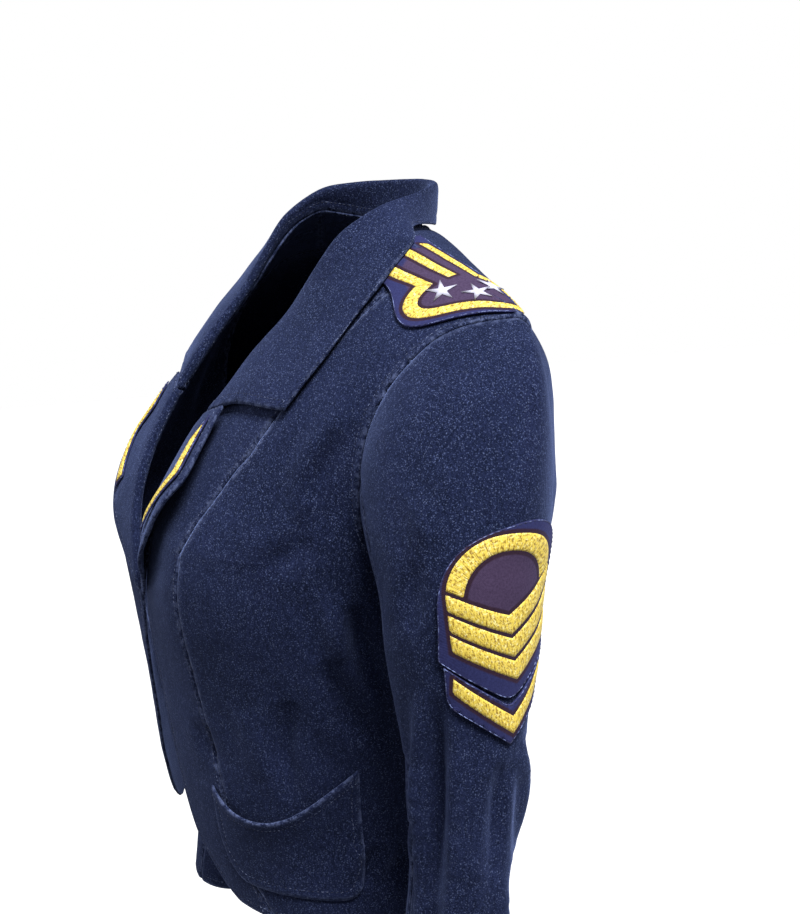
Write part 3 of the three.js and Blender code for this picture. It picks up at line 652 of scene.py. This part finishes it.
SHOULDER_NECK = Vector((64, -40, 0))  # the seam's ends, in mm
SHOULDER_TIP = Vector((182, 1.5, -44))


def shoulder_ray(x, turn, side=1):
    """A ray onto the shoulder, from under its seam."""
    seam = SHOULDER_TIP - SHOULDER_NECK
    place = SHOULDER_NECK + seam * ((x - SHOULDER_NECK.x) / seam.x)
    high, flat = SHOULDER_RADIUS["high"], SHOULDER_RADIUS["flat"]
    angle = math.radians(turn)
    start = Vector((side * x * MM, place.y * MM, place.z * MM - high))
    return start, Vector((0, flat * math.sin(angle), high * math.cos(angle))).normalized()


def middle_turn(x):
    """The turn of the middle line at a place x."""
    for (x_a, turn_a), (x_b, turn_b) in zip(MIDDLE_LINE, MIDDLE_LINE[1:]):
        if x <= x_b:
            return lerp(turn_a, turn_b, (x - x_a) / (x_b - x_a))
    return MIDDLE_LINE[-1][1]


def rounded(points, passes=3):
    """The line with its corners cut, again and again, until it is round."""
    for _ in range(passes):
        cut = [points[0]]
        for a, b in zip(points, points[1:]):
            cut.append(tuple(lerp(p, q, 0.25) for p, q in zip(a, b)))
            cut.append(tuple(lerp(p, q, 0.75) for p, q in zip(a, b)))
        points = [*cut, points[-1]]
    return points


def by_number(points):
    """A function that runs along a line, from point to point at an even rate."""

    def at(share):
        walked = share * (len(points) - 1)
        i = min(int(walked), len(points) - 2)
        return tuple(lerp(p, q, walked - i) for p, q in zip(points[i], points[i + 1]))

    return at


def ring_line(places, tip):
    """A line round the shoulder badge, from the front bar past the tip to the bar behind."""
    front = [(x, middle_turn(x) - half) for x, half in places]
    behind = [(x, middle_turn(x) + half) for x, half in places]
    return by_number(rounded([*front, (tip, middle_turn(tip)), *behind[::-1]]))


def bar_line(beside, ends):
    """A line beside the middle line, from the collar to the bar's end."""
    steps = 6
    places = [lerp(*ends, i / steps) for i in range(steps + 1)]
    return by_number([(x, middle_turn(x) + beside) for x in places])


def shoulder_design(side, node):
    """Three bars, and a ring round the stars."""
    bands = bmesh.new()
    wrap = Wrap(grounds[node], shoulder_ray, side)
    outer, inner = (ring_line(places, tip) for places, tip in zip(zip(*RING), RING_TIP))
    add_band(bands, inner, outer, wrap, steps=120)
    for bar in BARS:
        low = bar_line(bar["beside"] - BAR_HALF, bar["low"])
        high = bar_line(bar["beside"] + BAR_HALF, bar["high"])
        add_band(bands, low, high, wrap)
    return bands


STARS = [(143.5, -18), (154.5, -4.5), (146.5, 9.5)]
STAR_RADIUS = 10.5 * MM
STAR_WAIST = 0.3  # inner radius as a share of the outer one
STAR_LIFT = 0.5 * MM  # over the ground
STAR_RISE = 1.3 * MM  # of the middle over the points


def shoulder_stars(side, node):
    """Three five-pointed stars, each a fan of ten facets raised in the middle."""
    stars = bmesh.new()
    wrap = Wrap(grounds[node], shoulder_ray, side)
    for place in STARS:
        centre = wrap(place, STAR_LIFT)
        normal = (wrap(place, 2 * MM) - centre).normalized()
        turned = normal.to_track_quat("Z", "X")
        circle = {"cap_ends": True, "cap_tris": True, "segments": 10, "radius": 1}
        fan = bmesh.ops.create_circle(stars, **circle)["verts"]
        rim = [v for v in fan if v.co.length > 0.5]
        rim.sort(key=lambda v: math.atan2(v.co.y, v.co.x))
        for i, vert in enumerate(rim):
            vert.co *= STAR_RADIUS * (1 if i % 2 else STAR_WAIST)
        for vert in fan:
            if vert.co.length < 0.1 * MM:
                vert.co.z = STAR_RISE
        for vert in fan:
            vert.co = centre + turned @ vert.co
        face_way(stars, {f for v in fan for f in v.link_faces}, normal)
    return stars


# %% Draw the lapel badges
LAPEL_INSET = 2.3 * MM
LAPEL_LIFT = 0.1 * MM


def lapel_design(node):
    """The chevron's own outline, drawn in by a margin, smoothed and padded."""
    band = outer_face(node)
    margin = {"thickness": LAPEL_INSET, "use_boundary": True, "use_even_offset": True}
    bmesh.ops.inset_region(band, faces=band.faces, **margin)
    border = [f for f in band.faces if any(v.is_boundary for v in f.verts)]
    bmesh.ops.delete(band, geom=border, context="FACES")
    band = subdivided(band, SMOOTHING)
    stitch_map = band.loops.layers.uv.verify()
    border_tree = tree_of([v.co for v in band.verts if v.is_boundary])
    half = max(border_tree.find(v.co)[2] for v in band.verts)
    for face in band.faces:
        for loop in face.loops:
            loop[stitch_map].uv = (loop.vert.co.z, loop.vert.co.x)
    for vert in band.verts:
        share = border_tree.find(vert.co)[2] / half
        vert.co += vert.normal * (LOFT * math.sqrt(max(0, 1 - (1 - share) ** 2)) + LAPEL_LIFT)
    return band


# %% Stitch the designs onto the badges
THREAD_DEPTH = 0.5 * MM
designs = {
    "badge_sleeve": sleeve_design,
    "badge_sleeve_lower": lower_design,
    "badge_shoulder": shoulder_design,
}
for node in grounds:
    side = 1 if node.endswith("left") else -1
    kind = node.rsplit("_", 1)[0]
    bands = lapel_design(node) if kind == "badge_lapel" else designs[kind](side, node)
    gold_near = grounds[node].verts.layers.float.new("gold_near")
    gold_tree = tree_of([v.co for v in bands.verts])
    for vert in grounds[node].verts:
        vert[gold_near] = gold_tree.find(vert.co)[2]
    made = {f"thread_{node}": bands}
    if kind == "badge_shoulder":
        made[f"stars_{node}"] = shoulder_stars(side, node)
    ground = grounds[node].copy()
    pieces[node] = make_piece(f"cloth_{node}", ground, node, BADGE_CLOTH)
    for name, bm in made.items():
        pieces[name] = make_piece(name, bm, None, THREAD_DEPTH)

# %% [markdown]
# ## Sewing thread
# Every seam and turned edge has a row of stitches beside it. A stitch is a short curve whose ends
# dip into the cloth. Curves are quick here: one curve object holds hundreds of runs of points, its
# bevel gives them all a round section, and it is turned into one mesh at the end. The rows follow
# the border of each piece, drawn in a little over its surface.

# %% Follow the borders
def border_lines(bm):
    """The border of a mesh as closed lines of vertices."""
    left = {e for e in bm.edges if e.is_boundary}
    lines = []
    while left:
        line = list(left.pop().verts)
        onward = [e for e in line[-1].link_edges if e in left]
        while onward:
            left.remove(onward[0])
            line.append(onward[0].other_vert(line[-1]))
            onward = [e for e in line[-1].link_edges if e in left]
        lines.append(line)
    return lines


def drawn_in(bm, line, inset):
    """Places on the surface beside a border line, each with its normal."""
    tree = BVHTree.FromBMesh(bm)
    places = []
    for before, vert, after in zip(line[-2:] + line, line, line[1:] + line[:1]):
        along = (after.co - before.co).normalized()
        centres = [f.calc_center_median() for f in vert.link_faces]
        inward = sum(centres, Vector()) / len(centres) - vert.co
        inward -= along * inward.dot(along) + vert.normal * inward.dot(vert.normal)
        point, normal, _, _ = tree.find_nearest(vert.co + inward.normalized() * inset)
        places.append((point, normal))
    return places


STITCH = {"length": 2.3 * MM, "gap": 0.9 * MM}
STITCH_DIP = 0.25 * MM  # of its ends
STITCH_LOFT = 0.14 * MM  # of its middle
TORN = 1.3  # a stitch this much longer than its length spans a corner, and is left out


def stitched(places, keep=lambda point: True, length=STITCH["length"], gap=STITCH["gap"]):
    """Cuts a line of places into stitches of three points."""
    runs = []
    run, wanted, since = [], [0, length / 2, length], 0.0
    for (a, normal_a), (b, normal_b) in zip(places, places[1:]):
        step = (b - a).length
        walked = 0.0
        while run is not None and wanted[len(run)] - since <= step - walked:
            walked += wanted[len(run)] - since
            since = wanted[len(run)]
            t = walked / step if step else 0
            height = STITCH_LOFT if len(run) == 1 else -STITCH_DIP
            run.append(a.lerp(b, t) + normal_a.lerp(normal_b, t).normalized() * height)
            if len(run) == 3:
                if keep(run[1]) and (run[2] - run[0]).length < TORN * length:
                    runs.append(run)
                run, since = [], -gap
        since += step - walked
    return runs


def sew(name, runs, radius):
    """Turns runs of points into one mesh of round thread."""
    curve = bpy.data.curves.new(name, "CURVE")
    curve.dimensions = "3D"
    curve.bevel_depth = radius
    curve.bevel_resolution = 0
    curve.use_fill_caps = True
    for run in runs:
        spline = curve.splines.new("POLY")
        spline.points.add(len(run) - 1)
        for point, place in zip(spline.points, run):
            point.co = (*place, 1)
    holder = bpy.data.objects.new(name, curve)
    bpy.context.scene.collection.objects.link(holder)
    graph = bpy.context.evaluated_depsgraph_get()
    mesh = bpy.data.meshes.new_from_object(holder.evaluated_get(graph), depsgraph=graph)
    bpy.data.objects.remove(holder)
    bm = bmesh.new()
    bm.from_mesh(mesh)
    bpy.data.meshes.remove(mesh)
    print(name, len(runs), "runs,", len(bm.faces), "faces")
    return make_piece(name, bm, None)


# %% Sew the seams and edges
SEAM_INSET = 2.6 * MM
EDGE_INSET = 7 * MM
THREAD = 0.2 * MM  # radius of the sewing thread
OPEN = 0.5 * MM  # a border point this near to an open edge belongs to it
EDGE_SLACK = 1.5 * MM  # an edge's stitches may lie this much further from it
NOWHERE = Vector((9, 9, 9))

for side in SIDES:
    rows = []
    for panel in PANEL_NAMES:
        bm = outlines[f"{panel}_{side}"]
        near = bm.verts.layers.float["edge_near"]
        for line in border_lines(bm):
            open_tree = tree_of([v.co for v in line if v[near] < OPEN] or [NOWHERE])
            rows += stitched(
                drawn_in(bm, line, EDGE_INSET),
                keep=lambda p, tree=open_tree: tree.find(p)[2] < EDGE_INSET + EDGE_SLACK,
            )
            if not panel.startswith("sleeve"):
                rows += stitched(
                    drawn_in(bm, line, SEAM_INSET),
                    keep=lambda p, tree=open_tree: tree.find(p)[2] > EDGE_INSET,
                )
    for turned in ("lapel", "pocket"):
        bm = outlines[f"{turned}_{side}"]
        for line in border_lines(bm):
            rows += stitched(drawn_in(bm, line, EDGE_INSET))
    pieces[f"stitches_{side}"] = sew(f"stitches_{side}", rows, THREAD)
collar_rows = []
for line in border_lines(outlines["collar"]):
    collar_rows += stitched(drawn_in(outlines["collar"], line, EDGE_INSET))
pieces["stitches_collar"] = sew("stitches_collar", collar_rows, THREAD)

# %% Edge the badges
RIM_THREAD = 0.3 * MM  # radius
RIM_INSET = 0.5 * MM
RIM_STITCH = {"length": 3.4 * MM, "gap": 0.2 * MM}
for side in SIDES:
    rows = []
    for node in grounds:
        if node.endswith(side):
            for line in border_lines(outlines[node]):
                places = drawn_in(outlines[node], line, RIM_INSET)
                rows += stitched(places + places[:1], **RIM_STITCH)
    pieces[f"rims_{side}"] = sew(f"rims_{side}", rows, RIM_THREAD)

# %% [markdown]
# ## Finishes
# The knit is heathered: dark and lighter indigo fibres are spun together, pale specks lie scattered
# over it, and its soft nap shows paler where the surface turns away, which is the sheen of the
# shader. Effects that several materials share are node groups, built once.

# %% Helpers for nodes
def srgb(red, green, blue):
    """A colour on the screen's scale of 0 to 255, as the linear colour that shaders want."""

    def linear(value):
        value /= 255
        return value / 12.92 if value <= 0.04045 else ((value + 0.055) / 1.055) ** 2.4

    return (linear(red), linear(green), linear(blue), 1)


def feed(tree, socket, value):
    """Links a value that comes from another node, or sets a constant."""
    if isinstance(value, bpy.types.NodeSocket):
        tree.links.new(value, socket)
    else:
        socket.default_value = value


def add(tree, kind, values=None, **settings):
    """Adds a node, sets its settings, and feeds its inputs."""
    made = tree.nodes.new(kind)
    for key, value in settings.items():
        setattr(made, key, value)
    for key, value in (values or {}).items():
        feed(tree, made.inputs[key], value)
    return made


def squashed(tree, vector, scale):
    """Coordinates stretched or squashed along each axis."""
    return add(tree, "ShaderNodeMapping", {"Vector": vector, "Scale": scale}).outputs[0]


def calculate(tree, operation, a, b=0.0):
    return add(tree, "ShaderNodeMath", {0: a, 1: b}, operation=operation).outputs[0]


def times(tree, a, b):
    return calculate(tree, "MULTIPLY", a, b)


def inverse(tree, value):
    return calculate(tree, "SUBTRACT", 1.0, value)


def mixed(tree, share, a, b):
    """A mix of two colours."""
    node = add(tree, "ShaderNodeMix", data_type="RGBA")
    for number, value in ((0, share), (6, a), (7, b)):  # the sockets of a colour mix
        feed(tree, node.inputs[number], value)
    return node.outputs[2]


def ramp(tree, value, low, high):
    """0 below low, 1 above high, smooth between them."""
    return add(
        tree,
        "ShaderNodeMapRange",
        {"Value": value, "From Min": low, "From Max": high},
        interpolation_type="SMOOTHSTEP",
    ).outputs["Result"]


def noise_at(tree, vector, scale, detail=2.0, roughness=0.5):
    values = {"Vector": vector, "Scale": scale, "Detail": detail, "Roughness": roughness}
    return add(tree, "ShaderNodeTexNoise", values).outputs["Fac"]


def new_group(name, inputs, outputs):
    """An empty node group with named sockets, and its two end nodes."""
    tree = bpy.data.node_groups.new(name, "ShaderNodeTree")
    for socket, kind in inputs.items():
        tree.interface.new_socket(socket, in_out="INPUT", socket_type=f"NodeSocket{kind}")
    for socket, kind in outputs.items():
        tree.interface.new_socket(socket, in_out="OUTPUT", socket_type=f"NodeSocket{kind}")
    return tree, tree.nodes.new("NodeGroupInput").outputs, tree.nodes.new("NodeGroupOutput").inputs


def place_group(tree, group, values):
    made = tree.nodes.new("ShaderNodeGroup")
    made.node_tree = group
    for key, value in values.items():
        feed(tree, made.inputs[key], value)
    return made.outputs


# %% Heather, specks, wear, satin and twill
heather, given, gives = new_group(
    "heather",
    {"Vector": "Vector", "Dark": "Color", "Light": "Color", "Pale": "Color"},
    {"Color": "Color", "Height": "Float"},
)
fibres = noise_at(heather, given["Vector"], 900, 3, 0.75)
stretched = squashed(heather, given["Vector"], (1, 1, 0.35))
streaks = noise_at(heather, stretched, 520, 2)
clouds = noise_at(heather, given["Vector"], 16, 4)
blend = times(heather, fibres, 0.55)
blend = calculate(heather, "ADD", blend, times(heather, streaks, 0.25))
blend = calculate(heather, "ADD", blend, times(heather, clouds, 0.2))
mottled = mixed(heather, ramp(heather, blend, 0.38, 0.62), given["Dark"], given["Light"])
pale_fibres = ramp(heather, noise_at(heather, given["Vector"], 1200, 1, 0.5), 0.56, 0.74)
patches = ramp(heather, noise_at(heather, given["Vector"], 60, 3, 0.6), 0.35, 0.65)
evenly = calculate(heather, "ADD", 0.5, times(heather, patches, 0.3))
shown = times(heather, pale_fibres, evenly)
heather.links.new(mixed(heather, shown, mottled, given["Pale"]), gives["Color"])
heather.links.new(calculate(heather, "ADD", fibres, streaks), gives["Height"])

specks, given, gives = new_group(
    "specks", {"Vector": "Vector", "Scale": "Float", "Share": "Float"}, {"Mask": "Float"}
)
cells = add(specks, "ShaderNodeTexVoronoi", {"Vector": given["Vector"], "Scale": given["Scale"]})
chance = add(specks, "ShaderNodeSeparateColor", {"Color": cells.outputs["Color"]}).outputs[0]
picked = calculate(specks, "LESS_THAN", chance, given["Share"])
dot = inverse(specks, ramp(specks, cells.outputs["Distance"], 0.2, 0.5))
specks.links.new(times(specks, picked, dot), gives["Mask"])

wear, given, gives = new_group(
    "wear", {"Vector": "Vector", "Near": "Float", "Reach": "Float"}, {"Mask": "Float"}
)
away = ramp(wear, calculate(wear, "DIVIDE", given["Near"], given["Reach"]), 0.0, 1.0)
close = inverse(wear, away)
patchy = ramp(wear, noise_at(wear, given["Vector"], 260, 3, 0.65), 0.42, 0.62)
wear.links.new(times(wear, close, patchy), gives["Mask"])

satin, given, gives = new_group("satin", {"Stitch": "Vector"}, {"Tone": "Float", "Height": "Float"})
threads = noise_at(satin, squashed(satin, given["Stitch"], (1, 0.12, 1)), 1500, 2)
grain = noise_at(satin, given["Stitch"], 700, 2)
both = calculate(satin, "ADD", threads, grain)
satin.links.new(times(satin, both, 0.5), gives["Tone"])
satin.links.new(threads, gives["Height"])

twill, given, gives = new_group("twill", {"Vector": "Vector"}, {"Height": "Float"})
aslant = {"Vector": given["Vector"], "Rotation": (0, 0.8, 0.6)}
aslant = add(twill, "ShaderNodeMapping", aslant).outputs[0]
ribs = {"Vector": aslant, "Scale": 620, "Distortion": 0.6, "Detail": 1}
ribs = add(twill, "ShaderNodeTexWave", ribs)
twill.links.new(ribs.outputs["Fac"], gives["Height"])


# %% Knit, twill and threads
def new_material(name, roughness, specular, sheen=0.0, sheen_tint=(1, 1, 1, 1)):
    """A material with its constant sockets set, its tree, its shader and Object coordinates."""
    material = bpy.data.materials.new(name)
    material.use_nodes = True
    tree = material.node_tree
    shader = tree.nodes["Principled BSDF"]
    shader.inputs["Roughness"].default_value = roughness
    shader.inputs["Specular IOR Level"].default_value = specular
    shader.inputs["Sheen Weight"].default_value = sheen
    shader.inputs["Sheen Roughness"].default_value = 0.4
    shader.inputs["Sheen Tint"].default_value = sheen_tint
    places = add(tree, "ShaderNodeTexCoord").outputs["Object"]
    return material, tree, shader, places


def bump(tree, shader, height, strength, distance):
    values = {"Height": height, "Strength": strength, "Distance": distance}
    made = add(tree, "ShaderNodeBump", values)
    tree.links.new(made.outputs["Normal"], shader.inputs["Normal"])


def kept(tree, name):
    """A distance that is kept on the mesh."""
    return add(tree, "ShaderNodeAttribute", attribute_name=name).outputs["Fac"]


def knit_material():
    nap = srgb(110, 126, 176)
    material, tree, shader, places = new_material("navy_knit", 0.95, 0.06, 0.45, nap)
    tones = {"Dark": srgb(12, 18, 38), "Light": srgb(30, 37, 66), "Pale": srgb(76, 88, 126)}
    cloth = place_group(tree, heather, {"Vector": places, **tones})
    worn = []
    for near, reach in (("seam_near", 6 * MM), ("edge_near", 4 * MM)):
        values = {"Vector": places, "Near": kept(tree, near), "Reach": reach}
        worn.append(place_group(tree, wear, values)["Mask"])
    worn = calculate(tree, "MAXIMUM", *worn)
    colour = mixed(tree, times(tree, worn, 0.6), cloth["Color"], srgb(84, 94, 128))
    share = calculate(tree, "ADD", 0.14, times(tree, worn, 0.3))
    pale = place_group(tree, specks, {"Vector": places, "Scale": 900, "Share": share})["Mask"]
    colour = mixed(tree, times(tree, pale, 0.38), colour, srgb(104, 116, 152))
    tree.links.new(colour, shader.inputs["Base Color"])
    bump(tree, shader, cloth["Height"], 0.5, 0.5 * MM)
    return material


def thread_material(name, tones, specular=0.35, roughness=0.55):
    """Satin stitch in three tones, from dark to pale; the palest, laid in noise patches, is partly
    a painted glint of the satin.
    """
    material, tree, shader, places = new_material(name, roughness, specular)
    stitch = add(tree, "ShaderNodeUVMap").outputs[0]
    strands = place_group(tree, satin, {"Stitch": stitch})
    patches = noise_at(tree, places, 520, 3, 0.7)
    colour = mixed(tree, ramp(tree, strands["Tone"], 0.4, 0.54), tones[0], tones[1])
    # Noise patches of the palest tone: partly the thread's own tone, partly a painted glint of the
    # satin.
    pale_tone_and_painted_glint = times(tree, ramp(tree, patches, 0.52, 0.68), 0.8)
    colour = mixed(tree, pale_tone_and_painted_glint, colour, tones[2])
    tree.links.new(colour, shader.inputs["Base Color"])
    bump(tree, shader, strands["Height"], 0.6, 0.6 * MM)
    return material


def ground_material():
    """Navy at the margin, purple in the middle, and darkest beside the gold."""
    nap = srgb(150, 150, 220)
    material, tree, shader, places = new_material("badge_twill", 0.85, 0.1, 0.1, nap)
    centre = ramp(tree, kept(tree, "edge_near"), 9.5 * MM, 12.5 * MM)
    beside = ramp(tree, kept(tree, "gold_near"), 1.2 * MM, 2.4 * MM)
    beside = inverse(tree, beside)
    weave = noise_at(tree, places, 900, 2)
    margin = mixed(tree, weave, srgb(26, 28, 62), srgb(52, 56, 102))
    outline = mixed(tree, weave, srgb(30, 18, 32), srgb(56, 38, 52))
    purple = mixed(tree, weave, srgb(44, 32, 54), srgb(78, 64, 92))
    colour = mixed(tree, centre, margin, purple)
    colour = mixed(tree, beside, colour, outline)
    tree.links.new(colour, shader.inputs["Base Color"])
    ribs = place_group(tree, twill, {"Vector": places})["Height"]
    bump(tree, shader, ribs, 0.3, 0.3 * MM)
    return material


def sewing_material(name, dark, pale, share_low, share_high):
    """Plain sewing thread that is dark in places and pale in others."""
    material, tree, shader, places = new_material(name, 0.6, 0.3)
    patches = ramp(tree, noise_at(tree, places, 190, 3, 0.6), share_low, share_high)
    twist = noise_at(tree, places, 2400, 1)
    tree.links.new(mixed(tree, patches, dark, pale), shader.inputs["Base Color"])
    bump(tree, shader, twist, 0.3, 0.2 * MM)
    return material


knit = knit_material()
# The third gold tone, nearly white, is a painted highlight: the satin's glint, laid in noise
# patches.
GOLD_TONES = [srgb(140, 108, 30), srgb(228, 202, 84), srgb(252, 242, 170)]
WHITE_TONES = [srgb(150, 150, 178), srgb(196, 196, 214), srgb(220, 220, 232)]
gold = thread_material("gold_thread", GOLD_TONES)
white = thread_material("white_thread", WHITE_TONES)
twill_ground = ground_material()
navy_thread = sewing_material("navy_thread", srgb(22, 28, 50), srgb(104, 114, 146), 0.46, 0.62)
rim_thread = sewing_material("rim_thread", srgb(28, 32, 64), srgb(108, 120, 166), 0.44, 0.6)
FINISHES = {
    "cloth_badge": twill_ground,
    "cloth": knit,
    "thread": gold,
    "stars": white,
    "stitches": navy_thread,
    "rims": rim_thread,
}
for piece in pieces.values():
    finish = next(material for start, material in FINISHES.items() if piece.name.startswith(start))
    piece.data.materials.append(finish)

# %% [markdown]
# ## Floor, light and camera
# The blazer is shown in plain soft studio light, over a pale floor. The camera stands at the
# wearer's left and a little in front, and looks slightly down.

# %% Floor
low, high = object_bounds()
FLOOR_GAP = 0.85  # as far below the hem as when the blazer is worn
FLOOR_SIZE = 6
floor_mesh = bpy.data.meshes.new("floor")
floor_bm = bmesh.new()
bmesh.ops.create_grid(floor_bm, x_segments=1, y_segments=1, size=FLOOR_SIZE)
bmesh.ops.translate(floor_bm, verts=floor_bm.verts, vec=(0, 0, low.z - FLOOR_GAP))
floor_bm.to_mesh(floor_mesh)
floor_bm.free()
floor = bpy.data.objects.new("floor", floor_mesh)
bpy.context.scene.collection.objects.link(floor)
pale, pale_tree, pale_shader, floor_places = new_material("pale_floor", 0.9, 0.2)
grain = noise_at(pale_tree, floor_places, 40, 3)
floor_colour = mixed(pale_tree, grain, srgb(201, 201, 201), srgb(206, 206, 206))
pale_tree.links.new(floor_colour, pale_shader.inputs["Base Color"])
floor_mesh.materials.append(pale)

# %% Light
bpy.context.scene.view_settings.view_transform = "Standard"
world = bpy.data.worlds.new("studio")
bpy.context.scene.world = world
world.use_nodes = True
AMBIENT = 0.24  # the sky's light on the cloth, while the camera sees it white
sky = world.node_tree
seen = add(sky, "ShaderNodeLightPath").outputs["Is Camera Ray"]
strength = calculate(sky, "ADD", AMBIENT, times(sky, seen, 1.0 - AMBIENT))
sky.nodes["Background"].inputs["Color"].default_value = (1, 1, 1, 1)
sky.links.new(strength, sky.nodes["Background"].inputs["Strength"])
floor.visible_diffuse = False  # the white floor would light the cloth too much from below


# A broad sun from above does most of the work, and two soft panels fill the front and the back.
SUN_WIDTH = math.radians(28)
LAMPS = [
    {"name": "top", "kind": "SUN", "place": (0.86, 0.1, 1.74), "power": 6.6, "angle": SUN_WIDTH},
    {"name": "front", "kind": "AREA", "place": (-0.9, -2.0, 0.5), "power": 22, "size": 1.2},
    {"name": "behind", "kind": "AREA", "place": (0.5, 2.2, 0.6), "power": 14, "size": 1.2},
]
LAMP_TARGET = Vector((0, 0, -0.2))


def aimed_lamp(name, kind, place, power, **settings):
    """A lamp that points at the middle of the blazer."""
    light = bpy.data.lights.new(name, kind)
    light.energy = power
    for key, value in settings.items():
        setattr(light, key, value)
    lamp = bpy.data.objects.new(name, light)
    lamp.location = place
    lamp.rotation_euler = (LAMP_TARGET - Vector(place)).to_track_quat("-Z", "Y").to_euler()
    bpy.context.scene.collection.objects.link(lamp)


for row in LAMPS:
    aimed_lamp(**row)
print("lamps:", len(LAMPS))

# %% Camera
CAMERA_TURN = 68
CAMERA_RISE = 15
CAMERA_DISTANCE = 1.05
CAMERA_TARGET = Vector((0.02, -0.01, -0.17))
FOCAL_LENGTH = 57.9
turn, rise = math.radians(CAMERA_TURN), math.radians(CAMERA_RISE)
flat = math.cos(rise)
backwards = Vector((math.sin(turn) * flat, -math.cos(turn) * flat, math.sin(rise)))
lens = bpy.data.cameras.new("camera")
lens.lens = FOCAL_LENGTH
camera = bpy.data.objects.new("camera", lens)
camera.location = CAMERA_TARGET + CAMERA_DISTANCE * backwards
camera.rotation_euler = (-backwards).to_track_quat("-Z", "Y").to_euler()
bpy.context.scene.collection.objects.link(camera)
bpy.context.scene.camera = camera
